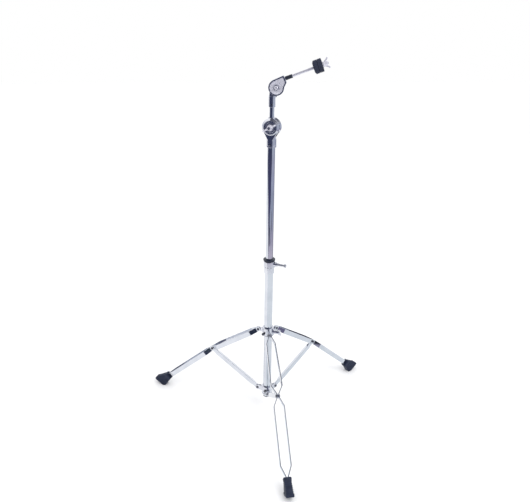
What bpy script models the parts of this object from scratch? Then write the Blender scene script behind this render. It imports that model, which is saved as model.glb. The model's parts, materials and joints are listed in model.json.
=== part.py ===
"""Folding cymbal boom stand, in metres with +Z up.

The stand rests on Z = 0 with the middle of its footprint over the origin. Its tube stands at
(0, AXIS_Y), with the front leg towards -Y and the other two legs 120 degrees either side.
Azimuths are counted from -Y towards +X.
"""

from math import atan2, cos, hypot, pi, radians, sin, tan

import bmesh
import bpy
from mathutils import Matrix

# Running and resting clearance between separate pieces.
GAP = 0.0003
PIN_GAP = 0.0003
TUBE_SIDES = 32
SIDES = 28
SMALL_SIDES = 16

# Tubes.
BASE_R = 0.0127
BASE_BORE = 0.0115
BASE_BOTTOM = 0.0585
BASE_TOP = 0.5332
MIDDLE_R = 0.0111
MIDDLE_BORE = 0.0098
MIDDLE_BOTTOM = 0.410
ARM_R = 0.0070
ARM_BORE = 0.0058

# Leg linkage, in each leg's own upright plane: radius from the tube's axis and height.
# The strut is as long as the upper leg, so the collar slides straight along the tube.
LEG_AZIMUTHS = {"front": 0.0, "right": 120.0, "left": -120.0}
HINGE_R = 0.0320
KNEE_R = 0.1950
KNEE_Z = 0.1880
HALF_SPREAD = 0.1078
COLLAR_Z = KNEE_Z + HALF_SPREAD
LOWER_Z = KNEE_Z - HALF_SPREAD
UPPER_LENGTH = hypot(KNEE_R - HINGE_R, HALF_SPREAD)
UPPER_SLOPE = atan2(HALF_SPREAD, KNEE_R - HINGE_R)

# Leg strips: two bowed flat bars, pinched at the collar, at the knee and in the foot.
# The upper bow widens from the collar to the knee.
STRIP_THICK = 0.0025
STRIP_HALF = 0.0075
PINCH_Y = 0.0034
UPPER_BOW = (0.0133, 0.0165)
LOWER_BOW = 0.0150
PINCH_RUN = 0.0060
BOW_RUN = 0.0300
RIVET_R = 0.0025
RIVET_HEAD = 0.0045

# Feet: the heel stands on a flat facet and the sole rises to the toe.
HEEL_R = (0.3775, 0.3895)
TOE = (0.4173, 0.0188)
SOLE_MIDDLE = (0.3984, 0.0094)
FOOT_LENGTH = 0.0460
FOOT_HALF = 0.0120
FOOT_TAPER = 0.08
FOOT_MOUTH = 0.0115
STRIP_IN_FOOT = 0.0180
LOWER_SLOPE = atan2(KNEE_Z - SOLE_MIDDLE[1], SOLE_MIDDLE[0] - KNEE_R)
KINK = LOWER_SLOPE - UPPER_SLOPE
SOLE_DISTANCE = hypot(SOLE_MIDDLE[0] - KNEE_R, KNEE_Z - SOLE_MIDDLE[1])
MOUTH_DISTANCE = SOLE_DISTANCE - FOOT_LENGTH

# The rear feet reach FOOT_BACK behind the tube, and the front one TOE[0] in front of it.
FOOT_BACK = TOE[0] * cos(radians(60)) + FOOT_HALF * sin(radians(60))
AXIS_Y = (TOE[0] - FOOT_BACK) / 2

# Collars and height clamp.
RING_HALF = 0.0140
LEG_RING_R = 0.0180
LOWER_RING_R = 0.0170
EAR_HALF = 0.0075
TONGUE_THICK = 0.0035
CLAMP_R = 0.0155
CLAMP_HEAD_R = 0.0170
CLAMP_Z = (0.4947, 0.5334)
CLAMP_STEP_Z = 0.5140
BUSHING_R = 0.0182
BUSHING_Z = (0.5338, 0.5412)
COLLAR_BOLT_AZIMUTH = 62.0
COLLAR_SCREW_AZIMUTH = -55.0
LOWER_SCREW_AZIMUTH = -32.0
CLAMP_BOLT_AZIMUTH = 59.0
CLAMP_BOLT_Z = 0.5255

# Boom tilter, about its tilting axis, which faces azimuth BOOM_TURN.
BOOM_Z = 0.9327
BOOM_TURN = -27.0
FORK_R = 0.0250
FORK_HALF = 0.0150
FORK_SLOT = 0.0082
FORK_FLOOR = -0.0252
NECK_R = 0.0142
NECK_BOTTOM = -0.0557
NECK_BORE_TOP = -0.0330
ROTOR_R = 0.0205
BOOM_BOLT_R = 0.0040

# Cymbal tilter, about its tilting axis, which faces azimuth CYMBAL_TURN.
CYMBAL_Z = 1.0392
CYMBAL_TURN = -15.0
PIVOT_X = 0.0115
SOCKET_R = 0.0098
SOCKET_BOTTOM = -0.0522
SOCKET_TOP = -0.0225
SOCKET_BORE_TOP = -0.0280
TILTER_R = 0.0213
TILTER_FRONT = -0.0133
TILTER_BACK = 0.0088
TILTER_BOLT_R = 0.0030
ROD_SLOPE = radians(21.3)
ROD_RISE = 0.0138
ROD_Y = -0.0068
ROD_R = 0.0039
ROD_START = 0.0075
ROD_END = 0.1507
HEAD_END = 0.0298
SLEEVE_LENGTH = 0.0195
FELT_START = 0.1117
FELT_R = 0.0180
FELT_THICK = 0.0113

LOOKS = {
    "chrome": ((0.80, 0.81, 0.84, 1.0), 1.0, 0.07),
    "cast_chrome": ((0.74, 0.75, 0.79, 1.0), 1.0, 0.12),
    "zinc": ((0.62, 0.63, 0.66, 1.0), 1.0, 0.25),
    "black_plastic": ((0.018, 0.021, 0.032, 1.0), 0.0, 0.42),
    "rubber": ((0.020, 0.023, 0.034, 1.0), 0.0, 0.60),
    "felt": ((0.022, 0.026, 0.038, 1.0), 0.0, 0.95),
}


def clear_scene():
    for obj in list(bpy.data.objects):
        bpy.data.objects.remove(obj, do_unlink=True)


def new_collection(name):
    made = bpy.data.collections.new(name)
    bpy.context.scene.collection.children.link(made)
    return made


clear_scene()
PARTS = new_collection("cymbal_boom_stand")
HELPERS = new_collection("cutters")


def move(x=0.0, y=0.0, z=0.0):
    return Matrix.Translation((x, y, z))


def turn(angle, axis):
    return Matrix.Rotation(angle, 4, axis)


def azimuth(degrees):
    """Turns +X outwards along an azimuth."""
    return turn(radians(degrees) - pi / 2, "Z")


# A slab is drawn in X and Y: this stands it in X and Z, with its thickness along Y.
UPRIGHT = turn(pi / 2, "X")
# A turned piece has its axis along Z: these lay it along +X, and along -Y towards the front.
ALONG_X = turn(pi / 2, "Y")
TO_FRONT = turn(pi / 2, "X")
# Keeps a hole's corners off the edges that cross its middle.
OFF_EDGE = turn(radians(4), "Z")
AXIS = move(y=AXIS_Y)


def material_for(name, look):
    colour, metallic, roughness = LOOKS[look]
    material = bpy.data.materials.new(name)
    material.use_nodes = True
    shader = material.node_tree.nodes["Principled BSDF"]
    shader.inputs["Base Color"].default_value = colour
    shader.inputs["Metallic"].default_value = metallic
    shader.inputs["Roughness"].default_value = roughness
    return material


def pivot_at(name, frame, parent=None):
    """An empty on a joint's axis, which the pieces of one moving body hang from."""
    pivot = bpy.data.objects.new(name, None)
    pivot.empty_display_size = 0.01
    PARTS.objects.link(pivot)
    place(pivot, frame, parent)
    return pivot


def place(obj, frame, pivot=None):
    if pivot:
        obj.parent = pivot
        obj.matrix_parent_inverse = pivot.matrix_world.inverted()
    obj.matrix_world = frame
    bpy.context.view_layer.update()


def part(obj, look, frame, pivot):
    obj.data.materials.clear()
    obj.data.materials.append(material_for(obj.name, look))
    PARTS.objects.link(obj)
    place(obj, frame, pivot)
    return obj


def cutter(obj, frame, pivot):
    obj.hide_render = True
    obj.display_type = "WIRE"
    HELPERS.objects.link(obj)
    place(obj, frame, pivot)
    return obj


def boolean(obj, other, operation):
    modifier = obj.modifiers.new(operation.title(), "BOOLEAN")
    modifier.operation = operation
    modifier.solver = "EXACT"
    modifier.object = other


def join(obj, other, frame, pivot):
    boolean(obj, cutter(other, frame, pivot), "UNION")


def cut(obj, other, frame, pivot):
    boolean(obj, cutter(other, frame, pivot), "DIFFERENCE")


def soften(obj, width, segments=1):
    bevel = obj.modifiers.new("Bevel", "BEVEL")
    bevel.width = width
    bevel.segments = segments
    bevel.limit_method = "ANGLE"
    bevel.angle_limit = radians(38)


def mesh_object(name, bm):
    mesh = bpy.data.meshes.new(name)
    bm.to_mesh(mesh)
    bm.free()
    mesh.shade_smooth()
    mesh.set_sharp_from_angle(angle=radians(35))
    return bpy.data.objects.new(name, mesh)


def turned(name, profile, sides=SIDES):
    """Revolves (radius, height) points about Z. They run down the outside, and a ring's run
    back up its bore."""
    bm = bmesh.new()
    points = [bm.verts.new((radius, 0, height)) for radius, height in profile]
    for first, second in zip(points, points[1:]):
        bm.edges.new((first, second))
    if profile[0][0] > 0:
        bm.edges.new((points[-1], points[0]))
    obj = mesh_object(name, bm)
    screw = obj.modifiers.new("Turn", "SCREW")
    screw.steps = screw.render_steps = sides
    screw.use_merge_vertices = True
    screw.merge_threshold = 0.00001
    screw.use_smooth_shade = True
    return obj


def ring_profile(radius, bore, low, high, chamfer=0.0006):
    return [
        (bore, high),
        (radius - chamfer, high),
        (radius, high - chamfer),
        (radius, low + chamfer),
        (radius - chamfer, low),
        (bore, low),
    ]


def pin_profile(radius, low, high, chamfer=0.0004):
    return [
        (0, high),
        (radius - chamfer, high),
        (radius, high - chamfer),
        (radius, low + chamfer),
        (radius - chamfer, low),
        (0, low),
    ]


def cylinder(name, radius, low, high, sides=SMALL_SIDES):
    """A plain closed cylinder about Z, mostly for cutting."""
    bm = bmesh.new()
    bmesh.ops.create_cone(
        bm, cap_ends=True, segments=sides, radius1=radius, radius2=radius, depth=high - low
    )
    bmesh.ops.translate(bm, verts=bm.verts, vec=(0, 0, (high + low) / 2))
    return mesh_object(name, bm)


def block(name, low, high):
    """A box between two opposite corners."""
    bm = bmesh.new()
    bmesh.ops.create_cube(bm, size=1)
    size = [b - a for a, b in zip(low, high)]
    middle = [(b + a) / 2 for a, b in zip(low, high)]
    bmesh.ops.scale(bm, verts=bm.verts, vec=size)
    bmesh.ops.translate(bm, verts=bm.verts, vec=middle)
    return mesh_object(name, bm)


def arc(x, y, radius, start, end, steps):
    """Points of a circle's arc from one angle to another, in degrees."""
    angles = [radians(start + (end - start) * i / steps) for i in range(steps + 1)]
    return [(x + radius * cos(a), y + radius * sin(a)) for a in angles]


def slab(name, outline, thickness):
    """A flat outline in X and Y, extruded evenly either side of its plane."""
    curve = bpy.data.curves.new(name, "CURVE")
    curve.dimensions = "2D"
    curve.fill_mode = "BOTH"
    curve.extrude = thickness / 2
    spline = curve.splines.new("POLY")
    spline.points.add(len(outline) - 1)
    for point, (x, y) in zip(spline.points, outline):
        point.co = (x, y, 0, 1)
    spline.use_cyclic_u = True
    guide = bpy.data.objects.new(name, curve)
    HELPERS.objects.link(guide)
    bpy.context.view_layer.update()
    graph = bpy.context.evaluated_depsgraph_get()
    mesh = bpy.data.meshes.new_from_object(guide.evaluated_get(graph))
    bpy.data.objects.remove(guide)
    bm = bmesh.new()
    bm.from_mesh(mesh)
    bmesh.ops.remove_doubles(bm, verts=bm.verts, dist=0.000001)
    bmesh.ops.dissolve_limit(bm, angle_limit=radians(1), verts=bm.verts, edges=bm.edges)
    bmesh.ops.recalc_face_normals(bm, faces=bm.faces)
    bpy.data.meshes.remove(mesh)
    return mesh_object(name, bm)


def three_of(obj):
    """Repeats a mesh at the three legs' azimuths, starting from one along +X."""
    bm = bmesh.new()
    bm.from_mesh(obj.data)
    first = list(bm.verts) + list(bm.edges) + list(bm.faces)
    bmesh.ops.rotate(
        bm, verts=bm.verts, cent=(0, 0, 0), matrix=Matrix.Rotation(-pi / 2, 3, "Z")
    )
    bmesh.ops.spin(
        bm, geom=first, axis=(0, 0, 1), cent=(0, 0, 0), angle=4 * pi / 3, steps=2,
        use_duplicate=True,
    )
    bm.to_mesh(obj.data)
    bm.free()
    return obj


def baked(obj, frame):
    """Moves a helper's mesh into the given frame, so that it can be repeated about Z."""
    obj.data.transform(frame)
    return obj


def rivet(name, half_grip):
    """A pin about Z with a low domed head at each end."""
    top = half_grip + GAP
    side = [
        (RIVET_R, top + 0.0018),
        (RIVET_HEAD - 0.0006, top + 0.0011),
        (RIVET_HEAD, top + 0.0003),
        (RIVET_HEAD, top),
        (RIVET_R, top),
    ]
    mirrored = [(radius, -height) for radius, height in reversed(side)]
    profile = [(0, top + 0.0020)] + side + mirrored + [(0, -top - 0.0020)]
    return turned(name, profile, SMALL_SIDES)


def wing_outline(span, root, rise, low=0.0):
    """A butterfly's outline: X across the wings, Y along the thread's axis."""
    tip = rise * 0.34
    right = [(root, low), (span - tip, rise * 0.30)]
    right += arc(span - tip, rise * 0.30 + tip, tip, -90, 90, 6)[1:]
    right += [(span - 2 * tip, rise * 0.94), (root * 0.75, rise * 0.52)]
    left = [(-x, y) for x, y in reversed(right)]
    return right + left


# Root body: base tube, lower collar and height clamp.


def ear_outline():
    """An ear along +X from inside its ring to a round end about the hinge."""
    return [(0.0150, -EAR_HALF)] + arc(HINGE_R, 0, EAR_HALF, -90, 90, 8) + [(0.0150, EAR_HALF)]


def base_tube(root):
    profile = ring_profile(BASE_R, BASE_BORE, BASE_BOTTOM, BASE_TOP, 0.0004)
    part(turned("base_tube", profile, TUBE_SIDES), "chrome", AXIS, root)
    plug = [
        (0, 0.0120),
        (BASE_BORE - GAP, 0.0120),
        (BASE_BORE - GAP, -GAP),
        (BASE_R, -GAP),
        (BASE_R, -0.0022),
        (BASE_R - 0.0012, -0.0034),
        (0, -0.0034),
    ]
    part(turned("base_tube_plug", plug), "black_plastic", AXIS @ move(z=BASE_BOTTOM), root)


def lower_collar(root):
    frame = AXIS @ move(z=LOWER_Z)
    profile = ring_profile(LOWER_RING_R, BASE_R + GAP, -RING_HALF, RING_HALF, 0.0010)
    collar = part(turned("lower_collar", profile, TUBE_SIDES), "cast_chrome", frame, root)
    width = 2 * PINCH_Y + STRIP_THICK
    ears = three_of(baked(slab("lower_ears", ear_outline(), width), UPRIGHT))
    join(collar, ears, frame, root)
    slot = 2 * PINCH_Y - STRIP_THICK
    gaps = block("lower_ear_slots", (0.0200, -slot / 2, -0.02), (0.05, slot / 2, 0.02))
    cut(collar, three_of(gaps), frame, root)
    bore = cylinder("lower_ear_holes", RIVET_R + PIN_GAP, -0.01, 0.01)
    cut(collar, three_of(baked(bore, move(x=HINGE_R) @ TO_FRONT)), frame, root)

    screw_frame = frame @ azimuth(LOWER_SCREW_AZIMUTH) @ ALONG_X
    cut(collar, cylinder("lower_screw_hole", 0.0028, 0.010, 0.020), screw_frame, root)
    screw = [
        (0, 0.0196),
        (0.0036, 0.0192),
        (0.0045, 0.0184),
        (0.0045, 0.0174),
        (0.0025, 0.0174),
        (0.0025, BASE_R + GAP),
        (0, BASE_R + GAP),
    ]
    part(turned("lower_collar_screw", screw, SMALL_SIDES), "zinc", screw_frame, root)
    for side, angle in LEG_AZIMUTHS.items():
        pin_frame = AXIS @ azimuth(angle) @ move(HINGE_R, 0, LOWER_Z) @ TO_FRONT
        part(rivet(f"strut_rivet_{side}", width / 2), "zinc", pin_frame, root)


def height_clamp(root):
    low, high = CLAMP_Z
    profile = [
        (BASE_R + GAP, high),
        (CLAMP_HEAD_R - 0.0012, high),
        (CLAMP_HEAD_R, high - 0.0012),
        (CLAMP_HEAD_R, CLAMP_STEP_Z),
        (CLAMP_R, CLAMP_STEP_Z - 0.0020),
        (CLAMP_R, low + 0.0012),
        (CLAMP_R - 0.0012, low),
        (BASE_R + GAP, low),
    ]
    clamp = part(turned("height_clamp", profile, TUBE_SIDES), "cast_chrome", AXIS, root)
    bolt_frame = AXIS @ move(z=CLAMP_BOLT_Z) @ azimuth(CLAMP_BOLT_AZIMUTH) @ ALONG_X
    join(clamp, cylinder("clamp_boss", 0.0072, 0.0135, 0.0240, SIDES), bolt_frame, root)
    cut(clamp, cylinder("clamp_bolt_hole", 0.0030 + GAP, 0.010, 0.030), bolt_frame, root)
    low, high = BUSHING_Z
    profile = [
        (MIDDLE_R + GAP, high),
        (BUSHING_R - 0.0015, high),
        (BUSHING_R, high - 0.0015),
        (BUSHING_R, low + 0.0040),
        (BUSHING_R - 0.0020, low),
        (MIDDLE_R + GAP, low),
    ]
    part(turned("height_bushing", profile, TUBE_SIDES), "black_plastic", AXIS, root)


def clamp_bolt(pivot, frame):
    """The height clamp's hand bolt: a round handle with a knob on its end."""
    profile = [
        (0, 0.0533),
        (0.0046, 0.0533),
        (0.0055, 0.0523),
        (0.0055, 0.0482),
        (0.0046, 0.0472),
        (0.0030, 0.0466),
        (0.0030, 0.0442),
        (0.0038, 0.0434),
        (0.0042, 0.0300),
        (0.0052, 0.0290),
        (0.0052, 0.0245),
        (0.0030, 0.0243),
        (0.0030, BASE_R + GAP),
        (0, BASE_R + GAP),
    ]
    part(turned("clamp_hand_bolt", profile, SMALL_SIDES), "chrome", frame, pivot)


# Legs, struts and the sliding collar.


def bend(vertex, x, angle):
    """Turns what lies beyond x downwards, and mitres the column of points at x."""
    along = vertex.co.x - x
    height = vertex.co.z
    if abs(along) < 0.00001:
        vertex.co.x = x + height * tan(angle / 2)
    elif along > 0:
        vertex.co.x = x + along * cos(angle) + height * sin(angle)
        vertex.co.z = -along * sin(angle) + height * cos(angle)


def strip_stations():
    """(x, y, half height) along one strip, from its round end at the collar to the foot."""
    round_end = [
        (-STRIP_HALF * cos(radians(a)), PINCH_Y, STRIP_HALF * sin(radians(a)))
        for a in (15, 35, 60, 90)
    ]
    knee = UPPER_LENGTH
    mouth = knee + MOUTH_DISTANCE
    corners = [
        (PINCH_RUN, PINCH_Y),
        (BOW_RUN, UPPER_BOW[0]),
        (knee - BOW_RUN, UPPER_BOW[1]),
        (knee - PINCH_RUN, PINCH_Y),
        (knee, PINCH_Y),
        (knee + PINCH_RUN, PINCH_Y),
        (knee + BOW_RUN, LOWER_BOW),
        (mouth - BOW_RUN, LOWER_BOW),
        (mouth - 0.0020, PINCH_Y),
        (mouth + STRIP_IN_FOOT, PINCH_Y),
    ]
    return round_end + [(x, y, STRIP_HALF) for x, y in corners]


def strip(name, side, frame, pivot):
    stations = strip_stations()
    bm = bmesh.new()
    bmesh.ops.create_grid(bm, x_segments=len(stations) - 1, y_segments=1, size=1)
    columns = sorted(bm.verts, key=lambda vertex: (round(vertex.co.x, 3), vertex.co.y))
    for index, (x, y, half) in enumerate(stations):
        columns[2 * index].co = (x, side * y, -half)
        columns[2 * index + 1].co = (x, side * y, half)
    for vertex in bm.verts:
        bend(vertex, UPPER_LENGTH, KINK)
    obj = part(mesh_object(name, bm), "chrome", frame, pivot)
    solidify = obj.modifiers.new("Thickness", "SOLIDIFY")
    solidify.thickness = STRIP_THICK
    solidify.offset = 0
    solidify.use_even_offset = True
    for index, x in enumerate((0, UPPER_LENGTH)):
        hole = cylinder(f"{name}_hole_{index}", RIVET_R + PIN_GAP, -0.01, 0.01)
        cut(obj, hole, frame @ move(x=x) @ TO_FRONT @ OFF_EDGE, pivot)


def foot_outline():
    """Side view of a foot: X outwards and Y up, from the heel round to the back of the mouth."""
    mouth_x = SOLE_MIDDLE[0] - FOOT_LENGTH * cos(LOWER_SLOPE)
    mouth_z = SOLE_MIDDLE[1] + FOOT_LENGTH * sin(LOWER_SLOPE)
    across = (FOOT_MOUTH * sin(LOWER_SLOPE), FOOT_MOUTH * cos(LOWER_SLOPE))
    return [
        (HEEL_R[0], 0),
        (HEEL_R[1], 0),
        TOE,
        (TOE[0] - 0.0035, TOE[1] + 0.0060),
        (mouth_x + across[0], mouth_z + across[1]),
        (mouth_x - across[0], mouth_z - across[1]),
    ]


def foot(name, plane, lower, pivot):
    obj = slab(name, foot_outline(), 2 * FOOT_HALF)
    for vertex in obj.data.vertices:
        back = (SOLE_MIDDLE[0] - vertex.co.x) * cos(LOWER_SLOPE)
        back += (vertex.co.y - SOLE_MIDDLE[1]) * sin(LOWER_SLOPE)
        vertex.co.z *= 1 - FOOT_TAPER * max(0, back) / FOOT_LENGTH
    part(obj, "rubber", plane @ UPRIGHT, pivot)
    soften(obj, 0.0016)
    y = PINCH_Y + STRIP_THICK / 2 + GAP
    z = STRIP_HALF + GAP
    start = MOUTH_DISTANCE - 0.01
    end = MOUTH_DISTANCE + STRIP_IN_FOOT + GAP
    pocket = block(f"{name}_pocket", (start, -y, -z), (end, y, z))
    cut(obj, pocket, lower, pivot)


def strut(name, frame, pivot):
    """A pressed channel, open below, whose flattened ends carry the pins."""
    end = EAR_HALF
    stations = [
        (-end * 0.97, 0.0017, end * 0.26),
        (-end * 0.80, 0.0017, end * 0.58),
        (-end * 0.45, 0.0017, end * 0.87),
        (0, 0.0017, end * 0.95),
        (0.0130, 0.0017, end * 0.95),
        (0.0270, 0.0042, end * 0.95),
    ]
    mirrored = [(UPPER_LENGTH - x, y, z) for x, y, z in reversed(stations)]
    bm = bmesh.new()
    rings = []
    for x, y, z in stations + mirrored:
        corners = ((x, -y, -z), (x, y, -z), (x, y, z), (x, -y, z))
        rings.append([bm.verts.new(corner) for corner in corners])
    for near, far in zip(rings, rings[1:]):
        for i in range(4):
            bm.faces.new((near[i], near[i - 1], far[i - 1], far[i]))
    bm.faces.new(rings[0])
    bm.faces.new(rings[-1][::-1])
    bmesh.ops.recalc_face_normals(bm, faces=bm.faces)
    obj = part(mesh_object(name, bm), "chrome", frame, pivot)
    soften(obj, 0.0005)
    low = (0.0300, -0.0029, -0.012)
    high = (UPPER_LENGTH - 0.0300, 0.0029, 0.0056)
    cut(obj, block(f"{name}_channel", low, high), frame, pivot)
    for index, x in enumerate((0, UPPER_LENGTH)):
        hole = cylinder(f"{name}_hole_{index}", RIVET_R + PIN_GAP, -0.01, 0.01)
        cut(obj, hole, frame @ move(x=x) @ TO_FRONT @ OFF_EDGE, pivot)


def leg(side, angle, root):
    plane = AXIS @ azimuth(angle)
    upper = plane @ move(HINGE_R, 0, COLLAR_Z) @ turn(UPPER_SLOPE, "Y")
    knee = upper @ move(x=UPPER_LENGTH)
    lower = knee @ turn(KINK, "Y")
    leg_pivot = pivot_at(f"leg_{side}_pivot", knee if side == "front" else upper)
    strip(f"leg_strip_{side}_a", 1, upper, leg_pivot)
    strip(f"leg_strip_{side}_b", -1, upper, leg_pivot)
    foot(f"foot_{side}", plane, lower, leg_pivot)
    grip = PINCH_Y + STRIP_THICK / 2
    part(rivet(f"collar_rivet_{side}", grip), "zinc", upper @ TO_FRONT, leg_pivot)
    part(rivet(f"knee_rivet_{side}", grip), "zinc", knee @ TO_FRONT, leg_pivot)

    strut_frame = plane @ move(HINGE_R, 0, LOWER_Z) @ turn(-UPPER_SLOPE, "Y")
    strut(f"strut_{side}", strut_frame, pivot_at(f"strut_{side}_pivot", strut_frame, root))


def leg_collar():
    frame = AXIS @ move(z=COLLAR_Z)
    pivot = pivot_at("leg_collar_pivot", frame)
    profile = ring_profile(LEG_RING_R, BASE_R + 0.0004, -RING_HALF, RING_HALF, 0.0010)
    collar = part(turned("leg_collar", profile, TUBE_SIDES), "cast_chrome", frame, pivot)
    tongues = three_of(baked(slab("collar_tongues", ear_outline(), TONGUE_THICK), UPRIGHT))
    join(collar, tongues, frame, pivot)
    bolt_frame = frame @ azimuth(COLLAR_BOLT_AZIMUTH) @ ALONG_X
    join(collar, cylinder("collar_boss", 0.0070, 0.0150, 0.0235, SIDES), bolt_frame, pivot)
    bore = cylinder("collar_holes", RIVET_R + PIN_GAP, -0.01, 0.01)
    cut(collar, three_of(baked(bore, move(x=HINGE_R) @ TO_FRONT)), frame, pivot)
    cut(collar, cylinder("collar_bolt_hole", 0.0030 + GAP, 0.008, 0.030), bolt_frame, pivot)
    screw_frame = frame @ move(z=-0.0050) @ azimuth(COLLAR_SCREW_AZIMUTH) @ ALONG_X
    cut(collar, cylinder("collar_screw_hole", 0.0028, 0.008, 0.030), screw_frame, pivot)

    screw = [
        (0, 0.0250),
        (0.0030, 0.0248),
        (0.0040, 0.0240),
        (0.0040, 0.0184),
        (0.0025, 0.0184),
        (0.0025, BASE_R + 0.0004),
        (0, BASE_R + 0.0004),
    ]
    part(turned("collar_screw", screw, SMALL_SIDES), "zinc", screw_frame, pivot)
    wing_bolt(pivot_at("collar_bolt_pivot", bolt_frame, pivot), bolt_frame)


def wing_bolt(pivot, frame):
    shank = [
        (0, 0.0390),
        (0.0035, 0.0388),
        (0.0055, 0.0365),
        (0.0062, 0.0270),
        (0.0055, 0.0240),
        (0.0030, 0.0238),
        (0.0030, BASE_R + 0.0005),
        (0, BASE_R + 0.0005),
    ]
    bolt = part(turned("collar_wing_bolt", shank, SMALL_SIDES), "cast_chrome", frame, pivot)
    wings = slab("collar_bolt_wings", wing_outline(0.0145, 0.0045, 0.0140), 0.0030)
    soften(wings, 0.0007)
    join(bolt, wings, frame @ move(z=0.0290) @ turn(radians(25), "Z") @ UPRIGHT, pivot)


# Middle tube and boom tilter.


def middle_tube(pivot):
    top = BOOM_Z + NECK_BORE_TOP - GAP
    profile = ring_profile(MIDDLE_R, MIDDLE_BORE, MIDDLE_BOTTOM, top, 0.0004)
    part(turned("middle_tube", profile, TUBE_SIDES), "chrome", AXIS, pivot)


def tube_guide(pivot):
    """The nylon guide that plugs the middle tube's lower end and rides in the base tube."""
    profile = [
        (0, 0.0140),
        (MIDDLE_BORE - GAP, 0.0140),
        (MIDDLE_BORE - GAP, -GAP),
        (BASE_BORE - 0.0002, -GAP),
        (BASE_BORE - 0.0002, -0.0100),
        (BASE_BORE - 0.0012, -0.0110),
        (0, -0.0110),
    ]
    part(turned("tube_guide", profile, TUBE_SIDES), "black_plastic", AXIS @ move(z=MIDDLE_BOTTOM), pivot)


def fork_outline():
    """Front view of the cheeks: a disc on shoulders that taper to the neck."""
    right = arc(0, 0, FORK_R, -38, 90, 12)
    left = [(-x, y) for x, y in reversed(right[:-1])]
    return right + left + [(-NECK_R, -0.0330), (NECK_R, -0.0330)]


def boom_tilter(pivot):
    frame = AXIS @ move(z=BOOM_Z) @ turn(radians(BOOM_TURN), "Z")
    front = frame @ TO_FRONT
    neck = [
        (0, -0.0255),
        (NECK_R, -0.0255),
        (NECK_R, NECK_BOTTOM + 0.0010),
        (NECK_R - 0.0010, NECK_BOTTOM),
        (0, NECK_BOTTOM),
    ]
    fork = part(turned("boom_fork", neck, TUBE_SIDES), "cast_chrome", frame, pivot)
    cheeks = slab("fork_cheeks", fork_outline(), 2 * FORK_HALF)
    soften(cheeks, 0.0012)
    join(fork, cheeks, frame @ UPRIGHT, pivot)
    slot_low = (-0.05, -FORK_SLOT, FORK_FLOOR)
    cut(fork, block("fork_slot", slot_low, (0.05, FORK_SLOT, 0.05)), frame, pivot)
    bore = cylinder("fork_tube_bore", MIDDLE_R + GAP, -0.07, NECK_BORE_TOP, TUBE_SIDES)
    cut(fork, bore, frame, pivot)
    cut(fork, cylinder("fork_face_recess", 0.0180, 0.0135, 0.02, TUBE_SIDES), front, pivot)
    cut(fork, cylinder("fork_bolt_hole", BOOM_BOLT_R + GAP, -0.03, 0.03), front, pivot)
    screw_frame = frame @ move(z=-0.0470) @ azimuth(4.0) @ ALONG_X
    cut(fork, cylinder("fork_screw_hole", 0.0028, 0.008, 0.020), screw_frame, pivot)
    screw = pin_profile(0.0025, MIDDLE_R + GAP, NECK_R + 0.0008)
    part(turned("fork_screw", screw, SMALL_SIDES), "zinc", screw_frame, pivot)

    bolt = [
        (0, 0.0268),
        (BOOM_BOLT_R - 0.0006, 0.0268),
        (BOOM_BOLT_R, 0.0262),
        (BOOM_BOLT_R, -FORK_HALF - GAP),
        (0.0085, -FORK_HALF - GAP),
        (0.0085, -0.0195),
        (0.0070, -0.0208),
        (0, -0.0212),
    ]
    part(turned("boom_bolt", bolt, SMALL_SIDES), "zinc", front, pivot)
    washer = ring_profile(0.0100, BOOM_BOLT_R + GAP, 0.0138, 0.0153, 0.0003)
    part(turned("boom_washer", washer, SMALL_SIDES), "zinc", front, pivot)


def wing_nut(name, look, hub, bore, span, thickness, frame, pivot, rise):
    """A nut about Z standing on Z = 0, with wings across X."""
    profile = [
        (0, rise * 0.80),
        (hub * 0.80, rise * 0.80),
        (hub, rise * 0.50),
        (hub * 1.12, 0.0010),
        (hub * 1.05, 0),
        (0, 0),
    ]
    nut = part(turned(name, profile, SMALL_SIDES), look, frame, pivot)
    wings = slab(f"{name}_wings", wing_outline(span, hub * 0.6, rise, 0.0015), thickness)
    soften(wings, thickness * 0.22)
    join(nut, wings, frame @ UPRIGHT, pivot)
    cut(nut, cylinder(f"{name}_bore", bore, -0.01, rise + 0.01), frame, pivot)


def boom_rotor(frame, pivot):
    front = frame @ TO_FRONT
    half = FORK_SLOT - GAP
    drum = pin_profile(ROTOR_R, -half, half, 0.0010)
    rotor = part(turned("boom_rotor", drum, TUBE_SIDES), "cast_chrome", front, pivot)
    join(rotor, cylinder("rotor_socket", 0.0098, 0.0050, 0.0262, SIDES), frame, pivot)
    sides = block("rotor_socket_sides", (-0.02, half, 0), (0.02, 0.02, 0.03))
    cut(rotor, sides, frame, pivot)
    sides = block("rotor_socket_front", (-0.02, -0.02, 0), (0.02, -half, 0.03))
    cut(rotor, sides, frame, pivot)
    cut(rotor, cylinder("rotor_arm_bore", ARM_R + GAP, 0.0062, 0.04, SIDES), frame, pivot)
    cut(rotor, cylinder("rotor_bolt_hole", BOOM_BOLT_R + GAP, -0.03, 0.03), front, pivot)


# Boom arm, cymbal tilter and cymbal rod.


def boom_arm(pivot):
    low = BOOM_Z + 0.0062 + GAP
    high = CYMBAL_Z + SOCKET_BORE_TOP - GAP
    profile = ring_profile(ARM_R, ARM_BORE, low, high, 0.0003)
    part(turned("boom_arm", profile, SIDES), "chrome", AXIS, pivot)


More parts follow.
